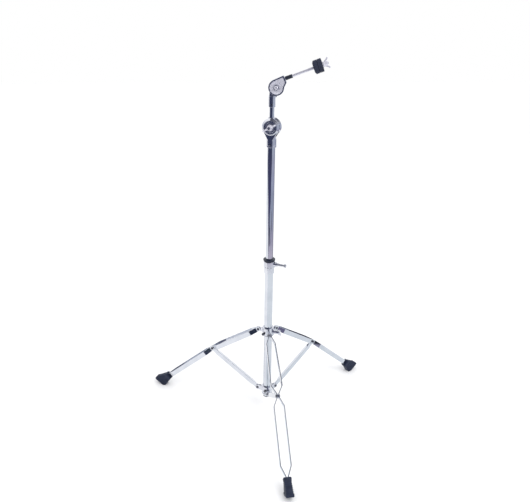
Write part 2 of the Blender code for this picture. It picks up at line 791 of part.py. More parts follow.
def tilter_socket(frame, pivot):
    profile = [
        (0, SOCKET_TOP),
        (SOCKET_R - 0.0008, SOCKET_TOP),
        (SOCKET_R, SOCKET_TOP - 0.0008),
        (SOCKET_R, SOCKET_BOTTOM + 0.0010),
        (SOCKET_R - 0.0010, SOCKET_BOTTOM),
        (0, SOCKET_BOTTOM),
    ]
    socket = part(turned("tilter_socket", profile), "cast_chrome", frame, pivot)
    circle = arc(PIVOT_X, 0, 0.0200, -55, 200, 20)
    outline = circle + [(-0.0085, -0.0360), (0.0085, -0.0360)]
    cheek = slab("socket_cheek", outline, TILTER_BACK - GAP / 2)
    soften(cheek, 0.0010)
    middle = (TILTER_BACK + GAP / 2) / 2
    join(socket, cheek, frame @ move(y=middle) @ UPRIGHT, pivot)
    cut(socket, cylinder("socket_bore", ARM_R + GAP, -0.07, SOCKET_BORE_TOP, SIDES), frame, pivot)
    axle = frame @ move(x=PIVOT_X) @ TO_FRONT
    cut(socket, cylinder("socket_bolt_hole", TILTER_BOLT_R + GAP, -0.03, 0.03), axle, pivot)
    screw_frame = frame @ move(z=-0.0455) @ azimuth(0.0) @ ALONG_X
    cut(socket, cylinder("socket_screw_hole", 0.0023, 0.004, 0.015), screw_frame, pivot)
    screw = pin_profile(0.0020, ARM_R + GAP, SOCKET_R + 0.0006, 0.0003)
    part(turned("socket_screw", screw, SMALL_SIDES), "zinc", screw_frame, pivot)
    bolt = [
        (0, 0.0160),
        (0.0034, 0.0158),
        (0.0050, 0.0148),
        (0.0050, -TILTER_FRONT + GAP),
        (TILTER_BOLT_R, -TILTER_FRONT + GAP),
        (TILTER_BOLT_R, -0.0205),
        (TILTER_BOLT_R - 0.0005, -0.0210),
        (0, -0.0210),
    ]
    part(turned("tilter_bolt", bolt, SMALL_SIDES), "zinc", axle, pivot)


def tilter_head_outline():
    """The head's disc about the pivot with its squared nose, drawn along the rod."""
    disc = arc(0, 0, TILTER_R, 90, 342, 20)
    return disc + [(HEAD_END + 0.0007, 0.0030), (HEAD_END - 0.0007, 0.0230)]


def tilter_head(frame, pivot):
    head = slab("tilter_head", tilter_head_outline(), -TILTER_FRONT - GAP / 2)
    middle = (TILTER_FRONT - GAP / 2) / 2
    part(head, "cast_chrome", frame @ move(y=middle) @ UPRIGHT, pivot)
    soften(head, 0.0010)
    front = frame @ TO_FRONT
    recess = ring_profile(0.0165, 0.0065, -TILTER_FRONT - 0.0012, 0.02, 0.0002)
    cut(head, turned("head_recess", recess, TUBE_SIDES), front, pivot)
    cut(head, cylinder("head_bolt_hole", TILTER_BOLT_R + GAP, -0.03, 0.03), front, pivot)
    rod_frame = frame @ move(0, ROD_Y, ROD_RISE) @ ALONG_X
    bore = cylinder("head_rod_bore", ROD_R + GAP, ROD_START - GAP, 0.05)
    cut(head, bore, rod_frame, pivot)


def cymbal_rod(frame, pivot):
    rod = pin_profile(ROD_R, ROD_START, ROD_END, 0.0008)
    part(turned("cymbal_rod", rod, SMALL_SIDES), "chrome", frame, pivot)
    start = HEAD_END + 0.0009
    sleeve = ring_profile(0.0052, ROD_R + GAP, start, start + SLEEVE_LENGTH, 0.0004)
    part(turned("rod_sleeve", sleeve, SMALL_SIDES), "black_plastic", frame, pivot)
    washer = ring_profile(0.0150, ROD_R + GAP, FELT_START - 0.0023, FELT_START - GAP, 0.0005)
    part(turned("seat_washer", washer), "zinc", frame, pivot)
    top = FELT_START + 2 * FELT_THICK
    tube = ring_profile(0.0060, ROD_R + GAP, FELT_START, top, 0.0002)
    part(turned("cymbal_sleeve", tube, SMALL_SIDES), "black_plastic", frame, pivot)
    for index, name in enumerate(("lower_felt", "upper_felt")):
        low = FELT_START + index * FELT_THICK
        bore = 0.0060 + GAP
        felt = ring_profile(FELT_R, bore, low, low + FELT_THICK - GAP, 0.0012)
        part(turned(name, felt), "felt", frame, pivot)


def build():
    root = pivot_at("base_pivot", AXIS)
    base_tube(root)
    lower_collar(root)
    height_clamp(root)
    bolt_frame = AXIS @ move(z=CLAMP_BOLT_Z) @ azimuth(CLAMP_BOLT_AZIMUTH) @ ALONG_X
    clamp_bolt(pivot_at("clamp_bolt_pivot", bolt_frame, root), bolt_frame)
    for side, angle in LEG_AZIMUTHS.items():
        leg(side, angle, root)
    leg_collar()

    guide_pivot = pivot_at("tube_guide_pivot", AXIS @ move(z=MIDDLE_BOTTOM), root)
    tube_guide(guide_pivot)
    tube_pivot = pivot_at("middle_tube_pivot", AXIS @ move(z=MIDDLE_BOTTOM), guide_pivot)
    middle_tube(tube_pivot)
    boom_tilter(tube_pivot)
    boom = AXIS @ move(z=BOOM_Z) @ turn(radians(BOOM_TURN), "Z")
    nut = boom @ TO_FRONT @ move(z=0.0156) @ turn(radians(28), "Z")
    nut_pivot = pivot_at("boom_nut_pivot", nut, tube_pivot)
    wing_nut(
        "boom_wing_nut", "cast_chrome", 0.0078, BOOM_BOLT_R + GAP, 0.0210, 0.0042, nut,
        nut_pivot, 0.0140,
    )
    rotor_pivot = pivot_at("boom_rotor_pivot", boom, tube_pivot)
    boom_rotor(boom, rotor_pivot)

    cymbal = AXIS @ move(z=CYMBAL_Z) @ turn(radians(CYMBAL_TURN), "Z")
    arm_pivot = pivot_at("boom_arm_pivot", cymbal, rotor_pivot)
    boom_arm(arm_pivot)
    tilter_socket(cymbal, arm_pivot)
    back = cymbal @ move(x=PIVOT_X, y=TILTER_BACK + GAP) @ turn(-pi / 2, "X")
    wing_nut(
        "tilter_wing_nut", "cast_chrome", 0.0058, TILTER_BOLT_R + GAP, 0.0150, 0.0030, back,
        pivot_at("tilter_nut_pivot", back, arm_pivot), 0.0120,
    )
    head = cymbal @ move(x=PIVOT_X) @ turn(-ROD_SLOPE, "Y")
    head_pivot = pivot_at("tilter_head_pivot", head, arm_pivot)
    tilter_head(head, head_pivot)
    rod = head @ move(0, ROD_Y, ROD_RISE) @ ALONG_X
    cymbal_rod(rod, head_pivot)
    seat = rod @ move(z=FELT_START + 2 * FELT_THICK + GAP) @ turn(radians(12), "Z")
    wing_nut(
        "cymbal_wing_nut", "cast_chrome", 0.0068, ROD_R + GAP, 0.0160, 0.0030, seat,
        pivot_at("cymbal_nut_pivot", seat, head_pivot), 0.0185,
    )


build()
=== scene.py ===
import json
from math import atan2, cos, hypot, pi, radians, sin, tan

import bmesh
import bpy
from mathutils import Matrix, Vector, noise


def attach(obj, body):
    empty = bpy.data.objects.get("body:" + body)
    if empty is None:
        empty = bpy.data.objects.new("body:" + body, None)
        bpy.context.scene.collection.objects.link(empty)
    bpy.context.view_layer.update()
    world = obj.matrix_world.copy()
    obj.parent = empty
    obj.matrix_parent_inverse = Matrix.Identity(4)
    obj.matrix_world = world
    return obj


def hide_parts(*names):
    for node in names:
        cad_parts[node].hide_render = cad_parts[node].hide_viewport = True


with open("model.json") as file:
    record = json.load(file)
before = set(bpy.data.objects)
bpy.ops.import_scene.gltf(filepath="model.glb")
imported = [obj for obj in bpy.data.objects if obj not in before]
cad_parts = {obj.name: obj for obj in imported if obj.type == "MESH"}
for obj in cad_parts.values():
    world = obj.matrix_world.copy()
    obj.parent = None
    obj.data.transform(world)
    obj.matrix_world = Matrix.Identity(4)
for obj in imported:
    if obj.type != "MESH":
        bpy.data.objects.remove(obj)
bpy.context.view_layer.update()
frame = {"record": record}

BODY_OF = {
    node: body for body, nodes in frame["record"]["behaviour"]["bodies"].items() for node in nodes
}
SLOT_OF = {row["node"]: row["material_slot"] for row in frame["record"]["subparts"]}

# Sizes in metres, azimuths and turns in degrees, with the values of the part's source.
GAP = 0.0003
BASE_R, BASE_BORE, BASE_BOTTOM, BASE_TOP = 0.0127, 0.0115, 0.0585, 0.5332
MIDDLE_R, MIDDLE_BORE, MIDDLE_BOTTOM = 0.0111, 0.0098, 0.410
ARM_R, ARM_BORE = 0.0070, 0.0058
LEG_AZIMUTHS = {"front": 0.0, "right": 120.0, "left": -120.0}
HINGE_R, KNEE_R, KNEE_Z, HALF_SPREAD = 0.0320, 0.1950, 0.1880, 0.1078
COLLAR_Z, LOWER_Z = KNEE_Z + HALF_SPREAD, KNEE_Z - HALF_SPREAD
UPPER_LENGTH = hypot(KNEE_R - HINGE_R, HALF_SPREAD)
UPPER_SLOPE = atan2(HALF_SPREAD, KNEE_R - HINGE_R)
STRIP_THICK, STRIP_HALF, PINCH_Y = 0.0025, 0.0075, 0.0034
UPPER_BOW, LOWER_BOW, PINCH_RUN, BOW_RUN = (0.0133, 0.0165), 0.0150, 0.0060, 0.0300
RIVET_R, RIVET_HEAD = 0.0025, 0.0045
HEEL_R, TOE, SOLE_MIDDLE = (0.3775, 0.3895), (0.4173, 0.0188), (0.3984, 0.0094)
FOOT_LENGTH, FOOT_HALF, FOOT_TAPER, FOOT_MOUTH = 0.0460, 0.0120, 0.08, 0.0115
STRIP_IN_FOOT = 0.0180
LOWER_SLOPE = atan2(KNEE_Z - SOLE_MIDDLE[1], SOLE_MIDDLE[0] - KNEE_R)
KINK = LOWER_SLOPE - UPPER_SLOPE
SOLE_DISTANCE = hypot(SOLE_MIDDLE[0] - KNEE_R, KNEE_Z - SOLE_MIDDLE[1])
MOUTH_DISTANCE = SOLE_DISTANCE - FOOT_LENGTH
FOOT_BACK = TOE[0] * cos(radians(60)) + FOOT_HALF * sin(radians(60))
AXIS_Y = (TOE[0] - FOOT_BACK) / 2
RING_HALF, LEG_RING_R, LOWER_RING_R, RING_BORE = 0.0140, 0.0180, 0.0170, BASE_R + 0.0004
HAND_BOLT_R, SCREW_SHANK_R, SCREW_BORE_R = 0.0030, 0.0025, 0.0028
EAR_HALF, TONGUE_THICK = 0.0075, 0.0035
CLAMP_R, CLAMP_HEAD_R, CLAMP_Z, CLAMP_STEP_Z = 0.0155, 0.0170, (0.4947, 0.5334), 0.5140
BUSHING_R, BUSHING_Z = 0.0182, (0.5338, 0.5412)
COLLAR_BOLT_AZIMUTH, COLLAR_SCREW_AZIMUTH, LOWER_SCREW_AZIMUTH = 62.0, -55.0, -32.0
CLAMP_BOLT_AZIMUTH, CLAMP_BOLT_Z = 59.0, 0.5255
BOOM_Z, BOOM_TURN = 0.9327, -27.0
FORK_R, FORK_HALF, FORK_SLOT, FORK_FLOOR = 0.0250, 0.0150, 0.0082, -0.0252
NECK_R, NECK_BOTTOM, NECK_BORE_TOP = 0.0142, -0.0557, -0.0330
ROTOR_R, BOOM_BOLT_R = 0.0205, 0.0040
CYMBAL_Z, CYMBAL_TURN, PIVOT_X = 1.0392, -15.0, 0.0115
SOCKET_R, SOCKET_BOTTOM, SOCKET_TOP, SOCKET_BORE_TOP = 0.0098, -0.0522, -0.0225, -0.0280
TILTER_R, TILTER_FRONT, TILTER_BACK, TILTER_BOLT_R = 0.0213, -0.0133, 0.0088, 0.0030
ROD_SLOPE, ROD_RISE, ROD_Y, ROD_R = radians(21.3), 0.0138, -0.0068, 0.0039
ROD_START, ROD_END, HEAD_END, SLEEVE_LENGTH = 0.0075, 0.1507, 0.0298, 0.0195
FELT_START, FELT_R, FELT_THICK, SEAT_SLEEVE_R = 0.1117, 0.0180, 0.0113, 0.0060
ROD_BORE = ROD_R + GAP
ARM_FOOT = 0.0062

# Details that the visual model adds.
SLIT_HALF, SLIT_TOP = 0.0009, 0.0005
DIMPLE_R, DIMPLE_Z, DIMPLE_AZIMUTHS = 0.0013, 0.5162, (-49, -23, 9)
SCALLOPS, WASHER_GRIPS, ROTOR_TEETH = 16, 36, 60
FOOT_SECTIONS, CUFF, RIB_DEPTH, RIBS, RIBBED = 56, 0.0007, 0.0013, 8.4, (0.25, 0.965)
THREAD_PITCH, THREAD_DEPTH = 0.0011, 0.00028
SLEEVE_GROOVES, GROOVE_PITCH, SLEEVE_R, GROOVE_R = 5, 0.0016, 0.0052, 0.00485
COLLAR_WING_TURN, BOOM_NUT_TURN, CYMBAL_NUT_TURN = 25, 28, 12
FELT_FUZZ = ((260, 0.00016), (900, 0.00010))


# Frames.


def move(x=0.0, y=0.0, z=0.0):
    return Matrix.Translation((x, y, z))


def turn(angle, axis):
    return Matrix.Rotation(angle, 4, axis)


def azimuth(degrees):
    """Turns +X outwards along an azimuth."""
    return turn(radians(degrees) - pi / 2, "Z")


TO_FRONT = turn(pi / 2, "X")
TO_BACK = turn(-pi / 2, "X")
ALONG_X = turn(pi / 2, "Y")
AXIS = move(y=AXIS_Y)
COLLAR = AXIS @ move(z=COLLAR_Z)
LOWER = AXIS @ move(z=LOWER_Z)
COLLAR_BOLT = COLLAR @ azimuth(COLLAR_BOLT_AZIMUTH) @ ALONG_X
CLAMP_BOLT = AXIS @ move(z=CLAMP_BOLT_Z) @ azimuth(CLAMP_BOLT_AZIMUTH) @ ALONG_X
BOOM = AXIS @ move(z=BOOM_Z) @ turn(radians(BOOM_TURN), "Z")
CYMBAL = AXIS @ move(z=CYMBAL_Z) @ turn(radians(CYMBAL_TURN), "Z")
HEAD = CYMBAL @ move(x=PIVOT_X) @ turn(-ROD_SLOPE, "Y")
ROD = HEAD @ move(0, ROD_Y, ROD_RISE) @ ALONG_X


# Mesh helpers.


def linked(name, data):
    """A new object in the scene."""
    obj = bpy.data.objects.new(name, data)
    bpy.context.scene.collection.objects.link(obj)
    return obj


def solid(verts, faces):
    """A closed mesh whose faces all look outwards."""
    bm = bmesh.new()
    points = [bm.verts.new(v) for v in verts]
    for face in faces:
        bm.faces.new([points[i] for i in face])
    bmesh.ops.recalc_face_normals(bm, faces=bm.faces)
    mesh = bpy.data.meshes.new("solid")
    bm.to_mesh(mesh)
    bm.free()
    return linked("solid", mesh)


def loop(points, radius, steps=4):
    """A closed outline with its corners rounded."""
    return rounded(points, radius, True, steps)


def rounded(points, radius, closed=False, steps=4):
    """Rounds a flat polyline's corners, by one radius or by one for each point."""
    made = []
    for i, point in enumerate(points):
        corner = Vector(point)
        size = radius[i] if isinstance(radius, (list, tuple)) else radius
        if size == 0 or (not closed and i in (0, len(points) - 1)):
            made.append(tuple(corner))
            continue
        back = Vector(points[i - 1]) - corner
        ahead = Vector(points[(i + 1) % len(points)]) - corner
        half = back.angle(ahead) / 2
        if half > radians(88):
            made.append(tuple(corner))
            continue
        run = min(size / tan(half), back.length * 0.48, ahead.length * 0.48)
        bisector = (back.normalized() + ahead.normalized()).normalized()
        centre = corner + bisector * (run / cos(half))
        first = corner + back.normalized() * run - centre
        last = corner + ahead.normalized() * run - centre
        start = atan2(first.y, first.x)
        sweep = atan2(last.y, last.x) - start
        sweep = (sweep + pi) % (2 * pi) - pi
        for k in range(steps + 1):
            angle = start + sweep * k / steps
            made.append(tuple(centre + first.length * Vector((cos(angle), sin(angle)))))
    return made


def arc(x, y, radius, start, end, steps):
    """Points of a circle's arc from one angle to another, in degrees."""
    angles = [radians(start + (end - start) * i / steps) for i in range(steps + 1)]
    return [(x + radius * cos(a), y + radius * sin(a)) for a in angles]


def lathe(profile, sides=72, ripple=None):
    """Revolves (radius, height) points about Z. They run down the outside, and a ring's run
    back up its bore. ripple(radius, height, angle) may change a point's radius."""
    verts, faces, rows = [], [], []
    for radius, height in profile:
        if radius < 1e-7:
            rows.append([len(verts)] * sides)
            verts.append((0, 0, height))
            continue
        rows.append(list(range(len(verts), len(verts) + sides)))
        for k in range(sides):
            angle = 2 * pi * k / sides
            r = ripple(radius, height, angle) if ripple else radius
            verts.append((r * cos(angle), r * sin(angle), height))
    pairs = list(zip(rows, rows[1:]))
    if profile[0][0] >= 1e-7:
        pairs.append((rows[-1], rows[0]))
    for near, far in pairs:
        for k in range(sides):
            n = (k + 1) % sides
            face = list(dict.fromkeys((near[k], far[k], far[n], near[n])))
            if len(face) > 2:
                faces.append(face)
    return solid(verts, faces)


def loft(rings):
    """Skins rings of equally many points, and closes both ends."""
    count = len(rings[0])
    verts = [point for ring in rings for point in ring]
    faces = [list(range(count)), list(range(len(verts) - count, len(verts)))]
    for row in range(len(rings) - 1):
        for k in range(count):
            n = (k + 1) % count
            a, b = row * count, (row + 1) * count
            faces.append([a + k, a + n, b + n, b + k])
    return solid(verts, faces)


def inset(outline, distance):
    """Moves a counter-clockwise outline's points inwards."""
    made = []
    for i, point in enumerate(outline):
        p = Vector(point)
        a = (p - Vector(outline[i - 1])).normalized()
        b = (Vector(outline[(i + 1) % len(outline)]) - p).normalized()
        normal = Vector((-a.y - b.y, a.x + b.x)).normalized()
        made.append(tuple(p + normal * distance / max(0.5, normal.dot(Vector((-a.y, a.x))))))
    return made


def plate(outline, low, high, edge, steps=3):
    """A flat outline in X and Y between two heights, with rounded rims."""
    area = sum(
        outline[i - 1][0] * p[1] - p[0] * outline[i - 1][1] for i, p in enumerate(outline)
    )
    outline = outline if area > 0 else outline[::-1]
    angles = [pi / 2 * k / steps for k in range(steps + 1)]
    rim = [(edge * (1 - sin(a)), edge * (1 - cos(a))) for a in angles]
    layers = [(d, low + h) for d, h in rim] + [(d, high - h) for d, h in reversed(rim)]
    return loft([[(x, y, z) for x, y in inset(outline, d)] for d, z in layers])


def block(low, high):
    """A box between two opposite corners."""
    (a, b, c), (d, e, f) = low, high
    return loft([[(a, b, z), (d, b, z), (d, e, z), (a, e, z)] for z in (c, f)])


def peg(radius, low, high, sides=48):
    """A plain cylinder about Z, for cutting and joining."""
    return lathe([(0, high), (radius, high), (radius, low), (0, low)], sides)


def at(obj, place):
    """Moves a mesh itself, so that its object stays at the origin."""
    obj.data.transform(place)
    return obj


def combine(obj, others, operation):
    """Applies one Boolean operation with each of the others, which it uses up."""
    for other in others:
        modifier = obj.modifiers.new("Boolean", "BOOLEAN")
        modifier.operation = operation
        modifier.solver = "EXACT"
        modifier.object = other
    graph = bpy.context.evaluated_depsgraph_get()
    mesh = bpy.data.meshes.new_from_object(obj.evaluated_get(graph), depsgraph=graph)
    obj.modifiers.clear()
    bm = bmesh.new()
    bm.from_mesh(mesh)
    bmesh.ops.dissolve_degenerate(bm, dist=0.000002, edges=bm.edges)
    bm.to_mesh(mesh)
    bm.free()
    obj.data = mesh
    for other in others:
        bpy.data.objects.remove(other, do_unlink=True)
    return obj


def join(obj, *others):
    """One solid from several."""
    return combine(obj, others, "UNION")


def cut(obj, *others):
    """A solid less its cutters."""
    return combine(obj, others, "DIFFERENCE")


def at_legs(make):
    """The same mesh at each leg's azimuth."""
    return [at(make(), azimuth(angle)) for angle in LEG_AZIMUTHS.values()]


def cross_bore(radius, x=0.0, reach=0.03, sides=48):
    """A cutter with running clearance for a pin that crosses the XZ plane."""
    return at(peg(radius + GAP, -reach, reach, sides), move(x=x) @ TO_FRONT)


def wave(angle):
    """Runs from 0 up to 1 and back once a turn."""
    return 0.5 - 0.5 * cos(angle)


def held(value):
    """The value, held between 0 and 1."""
    return min(1, max(0, value))


# Materials.


def fill(node, values):
    """Sets a node's inputs: another node's output is linked, anything else is the value."""
    for name, value in values.items():
        if isinstance(value, bpy.types.NodeSocket):
            node.id_data.links.new(value, node.inputs[name])
        else:
            node.inputs[name].default_value = value


def node_of(tree, kind, values=None):
    """A new shader node, with some of its inputs set."""
    node = tree.nodes.new(f"ShaderNode{kind}")
    fill(node, values or {})
    return node


def shader_with(name, colour, metallic, roughness):
    material = bpy.data.materials.new(name)
    material.use_nodes = True
    tree = material.node_tree
    shader = tree.nodes["Principled BSDF"]
    fill(shader, {"Base Color": (*colour, 1), "Metallic": metallic, "Roughness": roughness})
    return material, tree, shader, node_of(tree, "TexCoord").outputs["Object"]


def noise_of(tree, place, scale, detail=3.0, stretch=None):
    if stretch:
        place = node_of(tree, "Mapping", {"Scale": stretch, "Vector": place}).outputs["Vector"]
    values = {"Scale": scale, "Detail": detail, "Vector": place}
    return node_of(tree, "TexNoise", values).outputs["Fac"]


def spread(tree, value, low, high, start=0.3, end=0.7):
    """Maps a noise's middle range to low..high."""
    ranges = {"From Min": start, "From Max": end, "To Min": low, "To Max": high}
    return node_of(tree, "MapRange", {**ranges, "Value": value}).outputs["Result"]


def tint(tree, value, dark, light):
    """Mixes two colours by a value."""
    node = node_of(tree, "Mix")
    node.data_type = "RGBA"
    fill(node, {"A": (*dark, 1), "B": (*light, 1), "Factor": value})
    return node.outputs["Result"]


def relief(tree, shader, heights, distance):
    """Chains bumps: heights are (value, strength)."""
    normal = None
    for value, strength in heights:
        values = {"Strength": strength, "Distance": distance, "Height": value}
        if normal:
            values["Normal"] = normal
        normal = node_of(tree, "Bump", values).outputs["Normal"]
    fill(shader, {"Normal": normal})


def plating(name, dark, light, smooth, rough, grain, stretch=(1, 1, 1), metallic=1.0):
    """Chrome or zinc plating: cloudy tint, wiped streaks in the gloss and a faint ripple."""
    material, tree, shader, place = shader_with(name, light, metallic, rough)
    cloud = noise_of(tree, place, 26, 4)
    wiped = noise_of(tree, place, 240, 5, stretch)
    colour = tint(tree, spread(tree, cloud, 0, 1), dark, light)
    fill(shader, {"Base Color": colour, "Roughness": spread(tree, wiped, smooth, rough)})
    relief(tree, shader, [(noise_of(tree, place, 700, 2), grain), (wiped, grain * 0.7)], 0.00004)
    return material


def moulded(name, dark, light, smooth, rough, grain, scale):
    """Moulded plastic or rubber: dusty tint, uneven gloss and a fine grain."""
    material, tree, shader, place = shader_with(name, dark, 0.0, rough)
    dust = noise_of(tree, place, 90, 5)
    pebble = noise_of(tree, place, scale, 3)
    colour = tint(tree, spread(tree, dust, 0, 1, 0.35, 0.75), dark, light)
    fill(shader, {"Base Color": colour, "Roughness": spread(tree, pebble, smooth, rough)})
    fill(shader, {"Specular IOR Level": 0.3})
    relief(tree, shader, [(dust, grain * 0.4), (pebble, grain)], 0.00015)
    return material


def pressed_felt(name):
    """Wool felt: matted fibres in two directions, lint and a soft sheen."""
    material, tree, shader, place = shader_with(name, (0.03, 0.034, 0.05), 0.0, 0.95)
    fill(shader, {"Specular IOR Level": 0.15, "Sheen Weight": 0.12})
    fill(shader, {"Sheen Roughness": 0.5, "Sheen Tint": (0.45, 0.48, 0.62, 1)})
    fibres = noise_of(tree, place, 900, 6, (1, 0.22, 1))
    across = noise_of(tree, place, 1100, 6, (0.25, 1, 0.6))
    lint = noise_of(tree, place, 320, 6)
    colour = tint(tree, spread(tree, fibres, 0, 1), (0.012, 0.015, 0.030), (0.036, 0.041, 0.066))
    fill(shader, {"Base Color": colour})
    relief(tree, shader, [(lint, 0.5), (across, 0.45), (fibres, 0.6)], 0.0006)
    return material


ALONG_TUBE = (1, 1, 0.12)
LOOKS = {
    "chrome": plating(
        "chrome_plate", (0.60, 0.625, 0.68), (0.70, 0.72, 0.77), 0.035, 0.085, 0.03, ALONG_TUBE
    ),
    "cast_chrome": plating(
        "cast_chrome_plate", (0.60, 0.61, 0.67), (0.74, 0.75, 0.80), 0.08, 0.17, 0.10
    ),
    "satin": plating(
        "satin_casting", (0.70, 0.69, 0.77), (0.82, 0.81, 0.88), 0.10, 0.18, 0.05, metallic=0.45
    ),
    "zinc": plating("zinc_plate", (0.46, 0.47, 0.52), (0.70, 0.71, 0.75), 0.16, 0.34, 0.20),
    # Dark steel is the screws' and rivets' own colour, and also painted shade on the collar's slit
    # walls and the clamp's dimples.
    "dark_steel": plating("dark_steel", (0.10, 0.105, 0.125), (0.20, 0.205, 0.235), 0.22, 0.38, 0.15),
    "black_plastic": moulded(
        "black_nylon", (0.010, 0.013, 0.026), (0.018, 0.024, 0.044), 0.34, 0.50, 0.12, 1500
    ),
    "rubber": moulded(
        "black_rubber", (0.010, 0.016, 0.038), (0.022, 0.030, 0.062), 0.50, 0.70, 0.30, 1100
    ),
    "glossy_plastic": moulded(
        "glossy_nylon", (0.008, 0.011, 0.024), (0.014, 0.019, 0.036), 0.12, 0.26, 0.08, 1500
    ),
    "steel": plating(
        "rod_steel", (0.62, 0.61, 0.68), (0.74, 0.73, 0.80), 0.05, 0.11, 0.05, ALONG_TUBE, 0.6
    ),
    "felt": pressed_felt("pressed_felt"),
}


def dress(obj, node, look=None, sharp=32):
    """Stands a finished mesh in for a CAD node: its body, its slot, its material, its shading."""
    obj.name = obj.data.name = f"{node}_detail"
    obj.data.materials.clear()
    obj.data.materials.append(LOOKS[look or SLOT_OF[node]])
    for polygon in obj.data.polygons:
        polygon.material_index = 0
    obj.data.shade_smooth()
    obj.data.set_sharp_from_angle(angle=radians(sharp))
    normals = obj.modifiers.new("Normals", "WEIGHTED_NORMAL")
    normals.keep_sharp = True
    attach(obj, BODY_OF[node])
    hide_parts(node)
    return obj


def second_look(obj, look, place, chosen):
    """Gives another look to the polygons that chosen(centre, normal) picks in a place's frame. It
    paints shade into the collar's slit and the clamp's dimples, and gives the tilter's dish its satin
    face.
    """
    obj.data.materials.append(LOOKS[look])
    unplaced = place.inverted()
    for polygon in obj.data.polygons:
        if chosen(unplaced @ polygon.center, unplaced.to_3x3() @ polygon.normal):
            polygon.material_index = 1


def mirrored(points):
    """A profile's upper half and the same half turned over."""
    return points + [(radius, -height) for radius, height in reversed(points)]


def ring(radius, bore, low, high, edge, lip=0.0003):
    """A ring's profile with a rounded outside and softened bore edges."""
    points = [(bore, high), (radius, high), (radius, low), (bore, low)]
    return loop(points, [lip, edge, edge, lip])


def pin(radius, low, high, edge):
    return rounded([(0, high), (radius, high), (radius, low), (0, low)], edge)


# Tubes and what plugs them.


def tubes():
    profile = ring(BASE_R, BASE_BORE, BASE_BOTTOM, BASE_TOP, 0.0006, 0.0004)
    dress(at(lathe(profile, 112), AXIS), "base_tube")
    wall, groove = BASE_BORE - GAP, BASE_BORE - 0.0009
    plug = [
        (0, 0.0120), (wall, 0.0120), (wall, 0.0060), (groove, 0.0055), (groove, 0.0030),
        (wall, 0.0025), (wall, -GAP), (BASE_R, -GAP), (BASE_R, -0.0022), (BASE_R - 0.0012, -0.0034),
        (0.0040, -0.0034), (0.0034, -0.0026), (0, -0.0026),
    ]
    dress(at(lathe(rounded(plug, 0.0003)), AXIS @ move(z=BASE_BOTTOM)), "base_tube_plug")
    top = BOOM_Z + NECK_BORE_TOP - GAP
    profile = ring(MIDDLE_R, MIDDLE_BORE, MIDDLE_BOTTOM, top, 0.0005, 0.0004)
    dress(at(lathe(profile, 112), AXIS), "middle_tube")
    inner, land, groove = MIDDLE_BORE - GAP, BASE_BORE - 0.0002, BASE_BORE - 0.0008
    guide = [
        (0, 0.0140), (inner - 0.0009, 0.0140), (inner, 0.0120), (inner, -GAP), (land, -GAP),
        (land, -0.0040), (groove, -0.0044), (groove, -0.0062), (land, -0.0066), (land, -0.0100),
        (land - 0.0010, -0.0110), (0, -0.0110),
    ]
    dress(at(lathe(rounded(guide, 0.0003)), AXIS @ move(z=MIDDLE_BOTTOM)), "tube_guide")
    low = BOOM_Z + ARM_FOOT + GAP
    high = CYMBAL_Z + SOCKET_BORE_TOP - GAP
    dress(at(lathe(ring(ARM_R, ARM_BORE, low, high, 0.0004), 96), AXIS), "boom_arm")


# Collars.


def ear_outline():
    """An ear along +X from inside its ring to a round end about the hinge."""
    return (
        [(0.0150, -EAR_HALF * 1.15), (0.0205, -EAR_HALF)]
        + arc(HINGE_R, 0, EAR_HALF, -90, 90, 20)
        + [(0.0205, EAR_HALF), (0.0150, EAR_HALF * 1.15)]
    )


def rolled_ring(radius, bore):
    """A collar's ring: a waist between two rolled lips."""
    h = RING_HALF
    lip = [(bore, h), (radius - 0.0002, h), (radius, h - 0.0006), (radius, h - 0.0022)]
    return loop(mirrored(lip + [(radius - 0.0009, h - 0.0032)]), 0.0004)


def slotted_screw(node, radius, low, high, place, tip):
    """A domed screw head with a cross slot, on a plain shank."""
    points = [
        (0, high), (radius * 0.55, high - 0.00005), (radius, high - 0.0007),
        (radius, low), (SCREW_SHANK_R, low), (SCREW_SHANK_R, tip), (0, tip),
    ]
    screw = lathe(rounded(points, 0.0003), 40)
    arm, wide = radius * 0.62, radius * 0.13
    slots = [
        block((-arm, -wide, high - 0.0008), (arm, wide, high + 0.001)),
        block((-wide, -arm, high - 0.0008), (wide, arm, high + 0.001)),
    ]
    dress(at(cut(screw, *slots), place), node, "dark_steel")


def lower_collar():
    body = lathe(rolled_ring(LOWER_RING_R, BASE_R + GAP), 96)
    width = 2 * PINCH_Y + STRIP_THICK
    slot = 2 * PINCH_Y - STRIP_THICK
    ears = at_legs(lambda: at(plate(ear_outline(), -width / 2, width / 2, 0.0007), TO_FRONT))
    gaps = at_legs(lambda: block((0.0200, -slot / 2, -0.02), (0.05, slot / 2, 0.02)))
    holes = at_legs(lambda: cross_bore(RIVET_R, HINGE_R, 0.01))
    slit_place = azimuth(LOWER_SCREW_AZIMUTH)
    screw_place = slit_place @ ALONG_X
    bore = at(peg(SCREW_BORE_R, 0.010, 0.020), screw_place)
    slit = at(block((0.010, -SLIT_HALF, -0.02), (0.020, SLIT_HALF, SLIT_TOP)), slit_place)
    body = cut(join(body, *ears), *gaps, *holes, bore, slit)
    dress(at(body, LOWER), "lower_collar")

    # The slit's inner walls take the dark steel look: painted shade in the slit.
    def painted_slit_shade(p, normal):
        return 0.0132 < p.x < 0.0172 and abs(p.y) < SLIT_HALF + 0.0001 and p.z < SLIT_TOP - 0.0002

    second_look(body, "dark_steel", LOWER @ slit_place, painted_slit_shade)
    place = LOWER @ screw_place
    slotted_screw("lower_collar_screw", 0.0045, 0.0174, 0.0196, place, BASE_R + GAP)
    for side, angle in LEG_AZIMUTHS.items():
        rivet(f"strut_rivet_{side}", width / 2, AXIS @ azimuth(angle) @ move(HINGE_R, 0, LOWER_Z))


